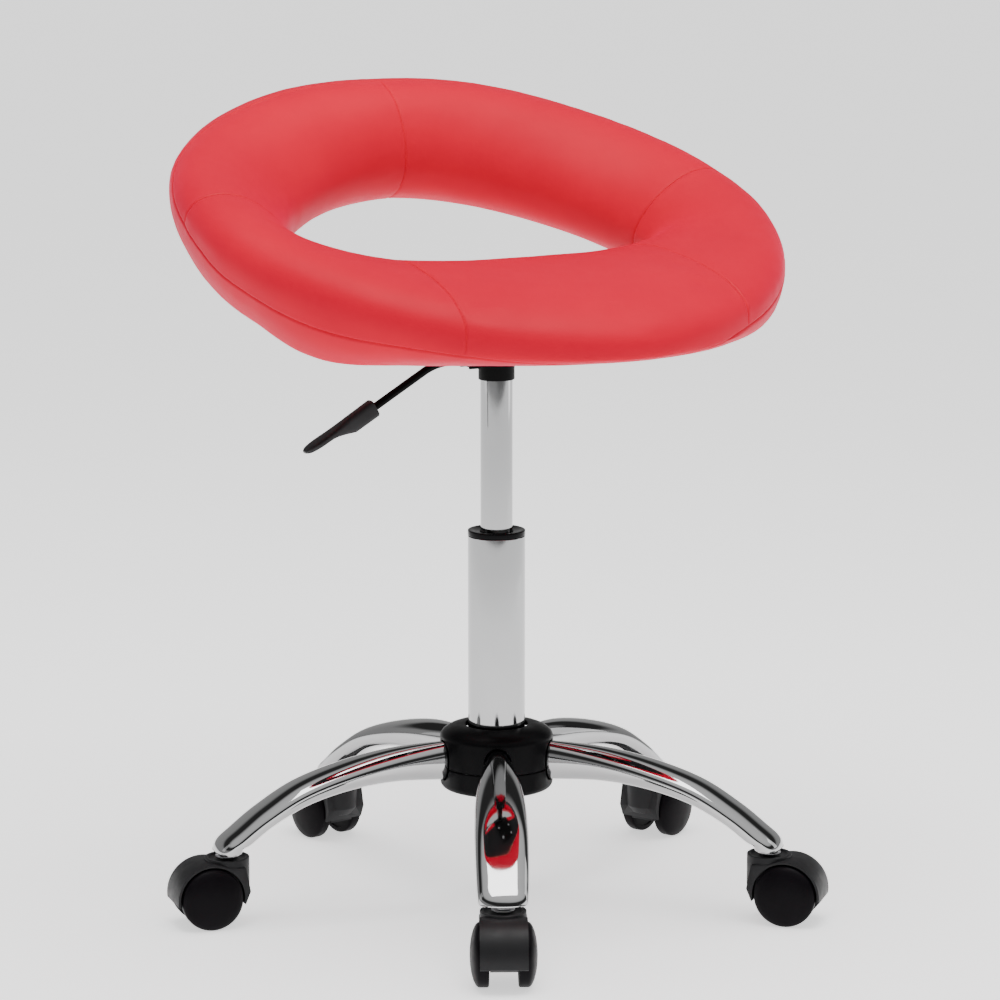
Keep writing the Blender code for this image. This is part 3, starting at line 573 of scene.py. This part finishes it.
def add_hub():
    low = HUB_SPLIT + 0.0005
    upper = [(HUB_R - 0.0006, low), (HUB_R, low + 0.0006)] + shoulder(0.0, 0.0, 86.0, 22)
    upper += [(HUB_OPENING + 0.0004, HUB_TOP), (HUB_OPENING, HUB_TOP - 0.0004)]
    upper += shoulder(HUB_WALL, 90.0, 0.0, 12) + [(HUB_R - HUB_WALL, low)]
    cuts = [("DIFFERENCE", p) for p in leg_passages()]
    mesh = carve("hub_dome", turned("upper", upper, 160, loop=True), cuts, bevel=0.00035, sharp=45.0)
    piece("hub_dome", mesh, HUB_BLACK, "base", ("hub_upper_cover",))
    wall, corner = HUB_R - 0.0002, 0.0048
    lower = [(0.0, HUB_FLOOR)]
    lower += arc((wall - corner, HUB_FLOOR + corner), corner, -90.0, 0.0, 10)
    lower += [(HUB_R, HUB_SPLIT - 0.0006), (HUB_R - 0.0005, HUB_SPLIT), (HUB_R - HUB_WALL, HUB_SPLIT),
              (wall - HUB_WALL, HUB_FLOOR + corner), (wall - corner, HUB_FLOOR + HUB_WALL),
              (0.0, HUB_FLOOR + HUB_WALL)]
    cuts = [("DIFFERENCE", p) for p in leg_passages()]
    mesh = carve("hub_tray", turned("lower", lower, 160), cuts, bevel=0.00035, sharp=45.0)
    piece("hub_tray", mesh, HUB_BLACK, "base", ("hub_lower_cover",))
    repaint("hub_core", STEEL)


# ---------------------------------------------------------------- column and gas lift
def add_column():
    outer, bore, low, top = 0.0215, 0.0203, 0.0920, 0.2795
    tube = rounded([(outer, low), (outer, top), (bore, top), (bore, low)], 0.0005, 3, closed=True)
    piece("column", turned("column", tube, 160, loop=True), CHROME, "base", ("column_tube",))
    flange = top + 0.0003
    ring = rounded([(0.0199, top - 0.009), (0.0199, flange), (0.0216, flange), (0.0216, flange + 0.0042),
                    (0.0190, flange + 0.0042), (0.0150, flange + 0.0032), (0.01235, flange + 0.0030),
                    (0.01235, top - 0.009)], 0.0009, 4, closed=True)
    piece("column_ring", turned("ring", ring, 128, loop=True), RING_BLACK, "base",
          ("column_top_ring",))
    repaint("guide_sleeve", WHEEL_BLACK)
    repaint("column_floor", STEEL)
    for node in ("thrust_bearing", "piston_rod", "retaining_clip", "release_pin"):
        repaint(node, STEEL)
    for node in ("piston", "rod_guide"):
        repaint(node, WHEEL_BLACK)
    low, top = 0.1630, 0.4060
    cylinder = rounded([(0.0120, low), (0.0120, top), (0.0029, top), (0.0029, top - 0.0060),
                        (0.0105, top - 0.0060), (0.0105, low)], 0.0006, 3, closed=True)
    piece("gas_tube", turned("gas_tube", cylinder, 128, loop=True), CHROME_ROD, "seat",
          ("gas_cylinder",))


# ---------------------------------------------------------------- seat mechanism
PLATE_UNDER = 0.4286
LEVER_Z, PIVOT = 0.4130, 0.0220
SLOPE, KNEE = math.radians(30.0), 0.0503
GRIP_AT = 0.1010


def add_mechanism():
    socket = turned("socket", rounded([(0.0135, 0.3975), (0.0135, PLATE_UNDER - 0.0003),
                                       (0.0123, PLATE_UNDER - 0.0003), (0.0123, 0.3975)],
                                      0.0006, 3, closed=True), 128, loop=True)
    slot = lofted("slot", [[(-0.020, y, z) for y, z in ((-0.0037, 0.4083), (0.0037, 0.4083),
                                                        (0.0037, 0.45), (-0.0037, 0.45))],
                           [(0.0, y, z) for y, z in ((-0.0037, 0.4083), (0.0037, 0.4083),
                                                     (0.0037, 0.45), (-0.0037, 0.45))]])
    piece("seat_collar", carve("seat_collar", socket, [("DIFFERENCE", slot)], sharp=45.0), COATED,
          "seat", ("seat_socket",))
    for node in ("seat_plate", "lever_bracket"):
        repaint(node, COATED)
        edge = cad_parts[node].modifiers.new("edges", "BEVEL")
        edge.width = 0.0004
        edge.segments = 2
        edge.limit_method = "ANGLE"
        edge.angle_limit = math.radians(40.0)
    repaint("lever_pivot_pin", STEEL)
    for k in range(1, 5):
        repaint(f"plate_bolt_{k}", STEEL)


def lever_line(distance):
    return Vector((-distance, 0.0, LEVER_Z - (distance - KNEE) * math.tan(SLOPE)))


def add_lever():
    """Bent round rod with a cross block on the pivot, and a grip that thins to a paddle."""
    bend, steps = 0.012, 14
    centres = [Vector((0.0012, 0.0, LEVER_Z)), Vector((0.0006, 0.0, LEVER_Z))]
    directions = [Vector((-1.0, 0.0, 0.0))] * 2
    start = Vector((-KNEE + bend, 0.0, LEVER_Z))
    corner = Vector((-KNEE, 0.0, LEVER_Z))
    end = lever_line(KNEE + bend * math.cos(SLOPE))
    for i in range(steps + 1):
        t = i / steps
        centres.append(start * (1 - t) ** 2 + corner * 2 * t * (1 - t) + end * t * t)
        directions.append(((corner - start) * (1 - t) + (end - corner) * t).normalized())
    along = directions[-1]
    origin = lever_line(GRIP_AT)
    centres.append(origin + along * 0.0138)
    directions.append(along)
    side = Vector((0.0, 1.0, 0.0))
    rings = []
    for i, (centre, direction) in enumerate(zip(centres, directions)):
        radius = 0.0023 if i == 0 else 0.0029
        normal = direction.cross(side)
        rings.append([centre + side * (radius * math.cos(TAU * k / 32))
                      + normal * (radius * math.sin(TAU * k / 32)) for k in range(32)])
    rod = lofted("lever_rod", rings)
    block = lofted("block", [[(x, y, z) for y, z in ((-0.0056, -0.0043), (0.0056, -0.0043),
                                                     (0.0056, 0.0043), (-0.0056, 0.0043))]
                             for x in (-0.0040, 0.0040)])
    block.transform(Matrix.Translation((-PIVOT, 0.0, LEVER_Z)))
    hole = turned("hole", [(0.0, -0.012), (0.0021, -0.012), (0.0021, 0.012), (0.0, 0.012)], 24)
    hole.transform(Matrix.Translation((-PIVOT, 0.0, LEVER_Z)) @ Matrix.Rotation(math.radians(90.0), 4, "X"))
    mesh = carve("lever_bar", rod, [("UNION", block), ("DIFFERENCE", hole)], sharp=45.0)
    piece("lever_bar", mesh, COATED, "lever", ("lever_rod",))

    normal = along.cross(side)
    normal = normal if normal.z > 0.0 else -normal
    stations = [(0.0000, -0.0068, 0.0068, 0.0046), (0.0225, -0.0066, 0.0062, 0.0052),
                (0.0380, -0.0004, 0.0052, 0.0068), (0.0520, 0.0006, 0.0052, 0.0074),
                (0.0600, 0.0012, 0.0050, 0.0058), (0.0635, 0.0024, 0.0042, 0.0026)]
    smooth = [stations[0], (0.0011, -0.0068, 0.0068, 0.0046)] + catmull_rom(stations[1:], 7)
    grip_rings = []
    for i, (distance, low, high, half_wide) in enumerate(smooth):
        inset = 0.0007 if i == 0 else 0.0
        outline = super_ellipse(half_wide - inset, (high - low) / 2.0 - inset, 4.0, 56)
        centre = origin + along * distance + normal * ((high + low) / 2.0)
        grip_rings.append([centre + side * a + normal * b for a, b in outline])
    bore_rings = []
    for centre in (origin - along * 0.004, origin + along * 0.0145):
        bore_rings.append([centre + side * (0.0032 * math.cos(TAU * k / 32))
                           + normal * (0.0032 * math.sin(TAU * k / 32)) for k in range(32)])
    grip = carve("lever_paddle", lofted("grip", grip_rings, sharp=50.0),
                 [("DIFFERENCE", lofted("bore", bore_rings))], sharp=50.0)
    piece("lever_paddle", grip, GRIP_BLACK, "lever", ("lever_grip",))


# ---------------------------------------------------------------- cushion: the ring's own surface
SEAT_HALF_WIDTH, SEAT_FRONT, SEAT_BACK, SEAT_WIDEST = 0.230, 0.2061, 0.2239, 0.0177
SEAT_POWERS = (1.84, 2.36)
HOLE_HALF_WIDTH, HOLE_FRONT, HOLE_BACK, HOLE_WIDEST = 0.1434, -0.0138, 0.1496, 0.0350
HOLE_POWERS = (3.18, 1.87)
RISE = (0.4885, 0.3746, -0.517, 0.666, 15.09)     # height of the ring's middle, powers of y
TILT = (0.260, 0.348, 0.182)           # outward tilt of the section: front, side, back
THICKNESS = (0.0842, 0.0706, 0.0730)
SECTION_POWERS = (2.46, 1.91)          # squarer at the front than at the sides and back
SQUARENESS = 1.27                      # how soon the section's side turns into its flat underside
UNDERSIDE = 0.4314                     # height of the flat underside at the front
RIM_START, RIM_END = -54.0, 234.0      # the leather's two edges under the seat, round the section
RIM_COLUMN = 12                        # the fine grid's column that lies on the rim seam
BOARD_EDGE = 0.55                      # board's edge, as a share of the section's half width
BOARD_LIP = 0.004                      # the leather's edge stands this share outside the board
RECESS = 0.0012 + 0.0120 + 0.0009      # room for the dust cover, the board and their clearances
SIM_INSET = 0.0020                     # the cloth starts this far inside the ring's own surface
SET_OUT = 0.0012                       # then set out by this much, since it hardly swells by itself
SEAM_TURNS = (31.8, 97.0, 180.0, 263.0, 328.2)


def signed_power(value, power):
    return np.sign(value) * np.abs(value) ** power


def outline(turn, half_width, front, back, widest, powers):
    across, along = np.sin(turn), -np.cos(turn)
    power = np.where(along < 0.0, powers[0], powers[1])
    depth = np.where(along < 0.0, front + widest, back - widest)
    return half_width * signed_power(across, 2.0 / power), widest + depth * signed_power(along, 2.0 / power)


def mixed(values, share):
    front, side, back = values
    centre = 2.0 * side - (front + back) / 2.0
    return front * (1.0 - share) ** 2 + 2.0 * centre * share * (1.0 - share) + back * share ** 2


def flat_share(turn):
    """1 at the front, where the underside is flat for the plate, and 0 at the sides and back."""
    t = np.clip((0.36 - (1.0 - np.cos(turn)) / 2.0) / 0.26, 0.0, 1.0)
    return t * t * (3.0 - 2.0 * t)


def section_at(turn, across, up):
    """Points of the ring from its turn (radians) and its section coordinates, both -1 to 1."""
    share = (1.0 - np.cos(turn)) / 2.0
    xo, yo = outline(turn, SEAT_HALF_WIDTH, SEAT_FRONT, SEAT_BACK, SEAT_WIDEST, SEAT_POWERS)
    xi, yi = outline(turn, HOLE_HALF_WIDTH, HOLE_FRONT, HOLE_BACK, HOLE_WIDEST, HOLE_POWERS)
    hx, hy = (xo - xi) / 2.0, (yo - yi) / 2.0
    x, y = (xo + xi) / 2.0 + hx * across, (yo + yi) / 2.0 + hy * across
    height = sum(term * y ** power for power, term in enumerate(RISE))
    slope = sum(power * term * y ** (power - 1) for power, term in enumerate(RISE) if power)
    level = height + mixed(TILT, share) * across * np.hypot(hx, hy)
    lift = mixed(THICKNESS, share) / 2.0 / np.sqrt(1.0 + slope ** 2)
    flat = flat_share(turn)
    lowest = (1.0 - flat) * (level - lift) + flat * UNDERSIDE
    z = np.where(up >= 0.0, level + lift * up, level + (level - lowest) * up)
    return np.stack([x, y - slope * lift * up, z], -1)


def surface(turn, angle):
    """The cushion's outside at a turn round the seat and an angle round the section, in degrees."""
    turn, angle = np.radians(turn), np.radians(angle)
    power = SECTION_POWERS[1] + (SECTION_POWERS[0] - SECTION_POWERS[1]) * flat_share(turn)
    across = signed_power(np.cos(angle), 2.0 / power)
    up = signed_power(np.sin(angle), 2.0 / power)
    return section_at(turn, across, np.where(up < 0.0, np.maximum(-1.0, SQUARENESS * up), up))


def rim_seam(turn):
    """Angle round the section of the seam that runs round the seat's outer edge."""
    return np.interp(np.asarray(turn, float) % 360.0,
                     [0.0, 9.0, 17.0, 28.0, 52.0, 70.0, 90.0, 115.0, 145.0, 180.0, 215.0, 232.0,
                      250.0, 260.0, 270.0, 282.0, 290.0, 307.0, 326.0, 338.0, 346.0, 360.0],
                     [-34.0, -24.0, -6.0, 3.0, 7.0, 12.0, 22.0, 35.0, 45.0, 49.0, 45.0, 32.0,
                      12.0, -1.0, -13.0, -19.0, -20.0, -12.0, -5.0, -12.0, -24.0, -34.0])


def smooth_rim_seam(turn):
    turns = np.asarray(turn, float)
    return sum(rim_seam(turns + shift) for shift in (-8, -4, 0, 4, 8)) / 5.0


def grid_normals(points):
    along = np.roll(points, -1, 0) - np.roll(points, 1, 0)
    round_ = np.gradient(points, axis=1)
    normal = np.cross(round_, along)
    return normal / np.maximum(np.linalg.norm(normal, axis=-1, keepdims=True), 1e-12)


def outward(points, normal):
    """Flip the normals if they point into the foam."""
    centre = points.mean(axis=1, keepdims=True)
    return normal if ((points - centre) * normal).sum() > 0.0 else -normal


SIM_TURNS, SIM_STEPS = 168, 60


def simulated_swell():
    """Press the leather out as cloth held along its seams; how far each point moved, in metres."""
    turns = np.arange(SIM_TURNS) * 360.0 / SIM_TURNS
    angles = np.linspace(RIM_START, RIM_END, SIM_STEPS)
    tt, aa = np.meshgrid(turns, angles, indexing="ij")
    points = surface(tt, aa)
    normal = outward(points, grid_normals(points))
    start = points - normal * SIM_INSET
    bm = bmesh.new()
    verts = [[bm.verts.new(p) for p in ring] for ring in start]
    for i in range(SIM_TURNS):
        j = (i + 1) % SIM_TURNS
        for k in range(SIM_STEPS - 1):
            bm.faces.new((verts[i][k], verts[j][k], verts[j][k + 1], verts[i][k + 1]))
        bm.faces.new((verts[i][-1], verts[j][-1], verts[j][0], verts[i][0]))
    mesh = to_mesh(bm, "leather_cloth")
    obj = link_object("leather_cloth", mesh)
    held = np.zeros(tt.shape)
    held[:, :2] = held[:, -2:] = 1.0
    for seam in SEAM_TURNS:
        near = np.abs((tt - seam + 180.0) % 360.0 - 180.0) < 180.0 / SIM_TURNS
        held[near & (aa > smooth_rim_seam(tt))] = 0.9
    held[np.abs(aa - smooth_rim_seam(tt)) < 0.5 * (angles[1] - angles[0])] = 0.9
    group = obj.vertex_groups.new(name="held")
    flat = held.reshape(-1)
    for weight in (1.0, 0.9):
        group.add([int(i) for i in np.nonzero(flat == weight)[0]], weight, "REPLACE")
    cloth = obj.modifiers.new("cloth", "CLOTH")
    settings = cloth.settings
    settings.quality = 6
    settings.mass = 0.3
    settings.tension_stiffness = settings.compression_stiffness = 18.0
    settings.shear_stiffness = 8.0
    settings.bending_stiffness = 1.5
    settings.vertex_group_mass = "held"
    settings.pin_stiffness = 1.0
    settings.use_pressure = True
    settings.uniform_pressure_force = 4.0
    settings.effector_weights.gravity = 0.0
    cloth.collision_settings.use_collision = False
    scene = bpy.context.scene
    for number in range(1, 21):
        scene.frame_set(number)
    result = obj.evaluated_get(bpy.context.evaluated_depsgraph_get()).data
    moved = np.zeros(len(result.vertices) * 3)
    result.vertices.foreach_get("co", moved)
    swell = ((moved.reshape(start.shape) - start) * normal).sum(-1)
    bpy.data.objects.remove(obj, do_unlink=True)
    scene.frame_set(1)
    print("cloth swell, mm:", np.round(np.percentile(swell, [0, 5, 50, 95, 100]) * 1000, 2))
    return turns, angles, np.clip(swell, -0.001, 0.006)


def sampled(field, turns, angles, turn, angle):
    """Bilinear lookup of the simulated field, which wraps round the seat."""
    count = len(turns)
    a = (turn % 360.0) / 360.0 * count
    b = np.clip((angle - angles[0]) / (angles[1] - angles[0]), 0.0, len(angles) - 1.001)
    i, k = np.floor(a).astype(int), np.floor(b).astype(int)
    fa, fb = a - i, b - k
    i, j = i % count, (i + 1) % count
    return ((field[i, k] * (1 - fa) + field[j, k] * fa) * (1 - fb)
            + (field[i, k + 1] * (1 - fa) + field[j, k + 1] * fa) * fb)


SEAM_STEPS = np.array([-3.2, -2.0, -1.1, -0.45, 0.0, 0.45, 1.1, 2.0, 3.2]) / 1000.0


def fine_turns():
    """Stations round the ring, with extra ones close to each cross seam."""
    spread = np.linspace(0.0, 360.0, 264, endpoint=False)
    extra = []
    for seam in SEAM_TURNS:
        here = surface(np.array([seam]), np.array([70.0]))[0]
        there = surface(np.array([seam + 1.0]), np.array([70.0]))[0]
        degrees = SEAM_STEPS / np.linalg.norm(there - here)
        spread = spread[np.abs((spread - seam + 180.0) % 360.0 - 180.0) > degrees[-1] * 1.35]
        extra += [(seam + d) % 360.0 for d in degrees]
    return np.sort(np.concatenate([spread, extra]))


def fine_angles(turns):
    """Angles round the section at each station, with extra ones close to the rim seam."""
    rows = []
    for turn, seam in zip(turns, smooth_rim_seam(turns)):
        here = surface(np.array([turn]), np.array([seam]))[0]
        there = surface(np.array([turn]), np.array([seam + 1.0]))[0]
        degrees = SEAM_STEPS / np.linalg.norm(there - here)
        low = np.linspace(RIM_START, seam + degrees[0], 9)[:-1]
        high = np.linspace(seam + degrees[-1], RIM_END, 66)[1:]
        rows.append(np.concatenate([low, seam + degrees, high]))
    return np.array(rows)


def seam_dip(distance, depth):
    """A stitched-in groove, a soft lip on each side and a wide shallow valley, in metres."""
    d = np.abs(distance)
    return (-depth * np.exp(-(d / 0.00065) ** 2) + 0.00020 * np.exp(-((d - 0.0024) / 0.0012) ** 2)
            - 0.00045 * np.exp(-(d / 0.0085) ** 2))


def arc_lengths(points, axis):
    """Distance travelled along one axis of a grid of points."""
    steps = np.linalg.norm(np.diff(points, axis=axis), axis=-1)
    return np.concatenate([np.zeros_like(np.take(steps, [0], axis)), np.cumsum(steps, axis)], axis)


def ripple(points, scale, seed):
    flat = points.reshape(-1, 3)
    values = [noise.noise(Vector((p[0] * scale + seed, p[1] * scale, p[2] * scale))) for p in flat]
    return np.array(values).reshape(points.shape[:-1])


def cushion_grid():
    """The leather's outside as a grid of points, its normals, and the grid's turns and angles."""
    turns = fine_turns()
    angles = fine_angles(turns)
    tt = np.repeat(turns[:, None], angles.shape[1], 1)
    points = surface(tt, angles)
    normal = outward(points, grid_normals(points))
    sim_turns, sim_angles, swell = simulated_swell()
    lift = sampled(swell, sim_turns, sim_angles, tt, angles) - SIM_INSET + SET_OUT
    edge = np.minimum(angles - RIM_START, RIM_END - angles)
    lift *= np.clip(edge / 14.0, 0.0, 1.0)

    seam_angle = smooth_rim_seam(turns)[:, None]
    lengths = arc_lengths(points, 1)
    at_seam = lengths[:, [RIM_COLUMN]]
    above = angles > seam_angle
    lift += seam_dip(lengths - at_seam, 0.0007)
    for seam in SEAM_TURNS:
        station = int(np.argmin(np.abs(turns - seam)))
        offset = np.linalg.norm(points - points[[station]], axis=-1)
        near = np.abs((tt - seam + 180.0) % 360.0 - 180.0) < 25.0
        fade = np.clip((lengths - at_seam) / 0.004, 0.0, 1.0)
        lift += np.where(near & above, seam_dip(offset, 0.0005), 0.0) * fade
        pull = np.exp(-(offset / 0.016) ** 2) * 0.00022
        lift += np.where(near, pull, 0.0) * ripple(points, 160.0, seam)
    rim_pull = np.exp(-((lengths - at_seam) / 0.012) ** 2) * 0.00028
    lift += rim_pull * ripple(points, 120.0, 3.0)
    lift += 0.00045 * ripple(points, 22.0, 9.0) + 0.00015 * ripple(points, 70.0, 5.0)
    return turns, angles, points + normal * lift[..., None], normal


def add_cushion():
    turns, angles, points, normal = cushion_grid()
    count = len(points)
    tt = np.radians(turns)
    edge = BOARD_EDGE + BOARD_LIP
    lips = []
    for across, height in ((-edge, 0.0), (-edge, RECESS), (edge, RECESS), (edge, 0.0)):
        lip = section_at(tt, np.full(count, across), np.full(count, -1.0))
        lip[:, 2] += height
        lips.append(lip)
    rings = [list(points[i]) + [lip[i] for lip in lips] for i in range(count)]
    cushion = piece("seat_cushion", lofted("seat_cushion", rings, closed_path=True, sharp=60.0), RED,
                    "seat", ("cushion",))
    add_stitches(turns, points, normal)


def stitch_ring(bm, start, end, lift, radius=0.00028):
    """One stitch: a short thread that dives in at both ends."""
    middle_point = (start + end) / 2.0 + lift * 0.00025
    path = [start - lift * 0.0006, start + lift * 0.0001, middle_point, end + lift * 0.0001,
            end - lift * 0.0006]
    along = (end - start).normalized()
    side = along.cross(lift).normalized()
    rings = []
    for point in path:
        rings.append([bm.verts.new(point + side * (radius * math.cos(TAU * k / 6))
                                   + lift * (radius * math.sin(TAU * k / 6))) for k in range(6)])
    for first, second in zip(rings, rings[1:]):
        bridge(bm, first, second)
    bm.faces.new(rings[0])
    bm.faces.new(rings[-1])


def sew(bm, path, lifts, pitch=0.0042, length=0.0030):
    """Stitches along a line of points."""
    gaps = [0.0]
    for first, second in zip(path, path[1:]):
        gaps.append(gaps[-1] + (second - first).length)
    total = gaps[-1]
    place = pitch
    while place + length < total - pitch:
        ends = []
        for target in (place, place + length):
            k = max(1, min(len(gaps) - 1, int(np.searchsorted(gaps, target))))
            share = (target - gaps[k - 1]) / max(gaps[k] - gaps[k - 1], 1e-9)
            ends.append((path[k - 1].lerp(path[k], share), lifts[k]))
        stitch_ring(bm, ends[0][0], ends[1][0], ends[0][1])
        place += pitch


def add_stitches(turns, points, normal):
    """Thread along the rim seam and along each cross seam above it."""
    bm = bmesh.new()
    rim = [Vector(p) for p in points[:, RIM_COLUMN]]
    lifts = [Vector(n) for n in normal[:, RIM_COLUMN]]
    sew(bm, rim + rim[:1], lifts + lifts[:1])
    above = slice(RIM_COLUMN + 2, -3)
    for seam in SEAM_TURNS:
        station = int(np.argmin(np.abs(turns - seam)))
        sew(bm, [Vector(p) for p in points[station, above]],
            [Vector(n) for n in normal[station, above]])
    piece("seam_stitches", to_mesh(bm, "seam_stitches"), THREAD, "seat")


def repaint_underside():
    repaint("seat_board", BOARD)
    repaint("dust_cover", FELT)


# ---------------------------------------------------------------- floor and light
def add_light(name, location, target, size, power, colour=(1.0, 1.0, 1.0)):
    data = bpy.data.lights.new(name, "AREA")
    data.shape = "RECTANGLE"
    data.size, data.size_y = size
    data.energy = power
    data.color = colour
    light = bpy.data.objects.new(name, data)
    bpy.context.scene.collection.objects.link(light)
    light.location = location
    light.rotation_euler = (Vector(target) - Vector(location)).to_track_quat("-Z", "Y").to_euler()
    return light


def seen_from_camera(right, back, up):
    """A point given from the column as the photographer sees it: right, away and up."""
    return (COLUMN + Vector((math.cos(FACING), -math.sin(FACING), 0.0)) * right
            + Vector((math.sin(FACING), math.cos(FACING), 0.0)) * back + Vector((0.0, 0.0, up)))


FLOOR_HALF = 60.0                      # wide enough that no ordinary view sees its edge


def add_studio():
    """Pale paper floor, a soft light overhead and a weak one on each side."""
    bm = bmesh.new()
    bmesh.ops.create_grid(bm, x_segments=1, y_segments=1, size=FLOOR_HALF)
    floor = link_object("floor", to_mesh(bm, "floor"))
    paper = Shader("floor_paper")
    paper.set(Specular_IOR_Level=0.15, Emission_Color=(1.0, 1.0, 1.0, 1.0), Emission_Strength=1.0)
    tone = paper.ramp(paper.noise(3.0, 2.0), [(0.3, (0.88, 0.88, 0.88)), (0.7, (0.90, 0.90, 0.90))])
    floor.data.materials.append(paper.finish(tone, paper.span(paper.noise(8.0), 0.80, 0.90)))
    add_world()
    aim = COLUMN + Vector((0.0, 0.0, 0.45))
    add_light("overhead", seen_from_camera(0.05, -0.25, 2.15), aim, (1.6, 1.4), 46.0)
    add_light("left_softbox", seen_from_camera(-1.9, -0.2, 1.0), aim, (0.7, 1.4), 1.5)
    add_light("right_softbox", seen_from_camera(1.9, 0.5, 0.9), aim, (0.7, 1.4), 4.0)


def add_world():
    """A soft tent, bright overhead, with a dark band round it that the chrome picks up."""
    world = bpy.data.worlds.new("studio")
    bpy.context.scene.world = world
    world.use_nodes = True
    tree = world.node_tree
    coords = tree.nodes.new("ShaderNodeTexCoord")
    toward = tree.nodes.new("ShaderNodeVectorMath")
    toward.operation = "DOT_PRODUCT"
    bright_side = (seen_from_camera(0.15, -0.20, 1.0) - COLUMN).normalized()
    toward.inputs[1].default_value = bright_side
    tree.links.new(coords.outputs["Generated"], toward.inputs[0])
    shift = tree.nodes.new("ShaderNodeMapRange")
    shift.inputs["From Min"].default_value = -1.0
    tree.links.new(toward.outputs["Value"], shift.inputs["Value"])
    ramp = tree.nodes.new("ShaderNodeValToRGB")
    stops = ((0.0, 0.30), (0.52, 0.40), (0.60, 0.38), (0.66, 0.04),
             (0.77, 0.04), (0.84, 0.80), (1.0, 1.0))
    elements = ramp.color_ramp.elements
    elements[0].position, elements[1].position = stops[0][0], stops[-1][0]
    for position, _ in stops[1:-1]:
        elements.new(position)
    for element, (_, grey) in zip(elements, stops):
        element.color = (grey, grey, grey, 1.0)
    tree.links.new(shift.outputs["Result"], ramp.inputs["Fac"])
    background = tree.nodes["Background"]
    background.inputs["Strength"].default_value = 1.1
    tree.links.new(ramp.outputs["Color"], background.inputs["Color"])


add_camera()
add_studio()
add_castors()
add_legs()
add_hub()
add_column()
add_mechanism()
add_lever()
add_cushion()
repaint_underside()
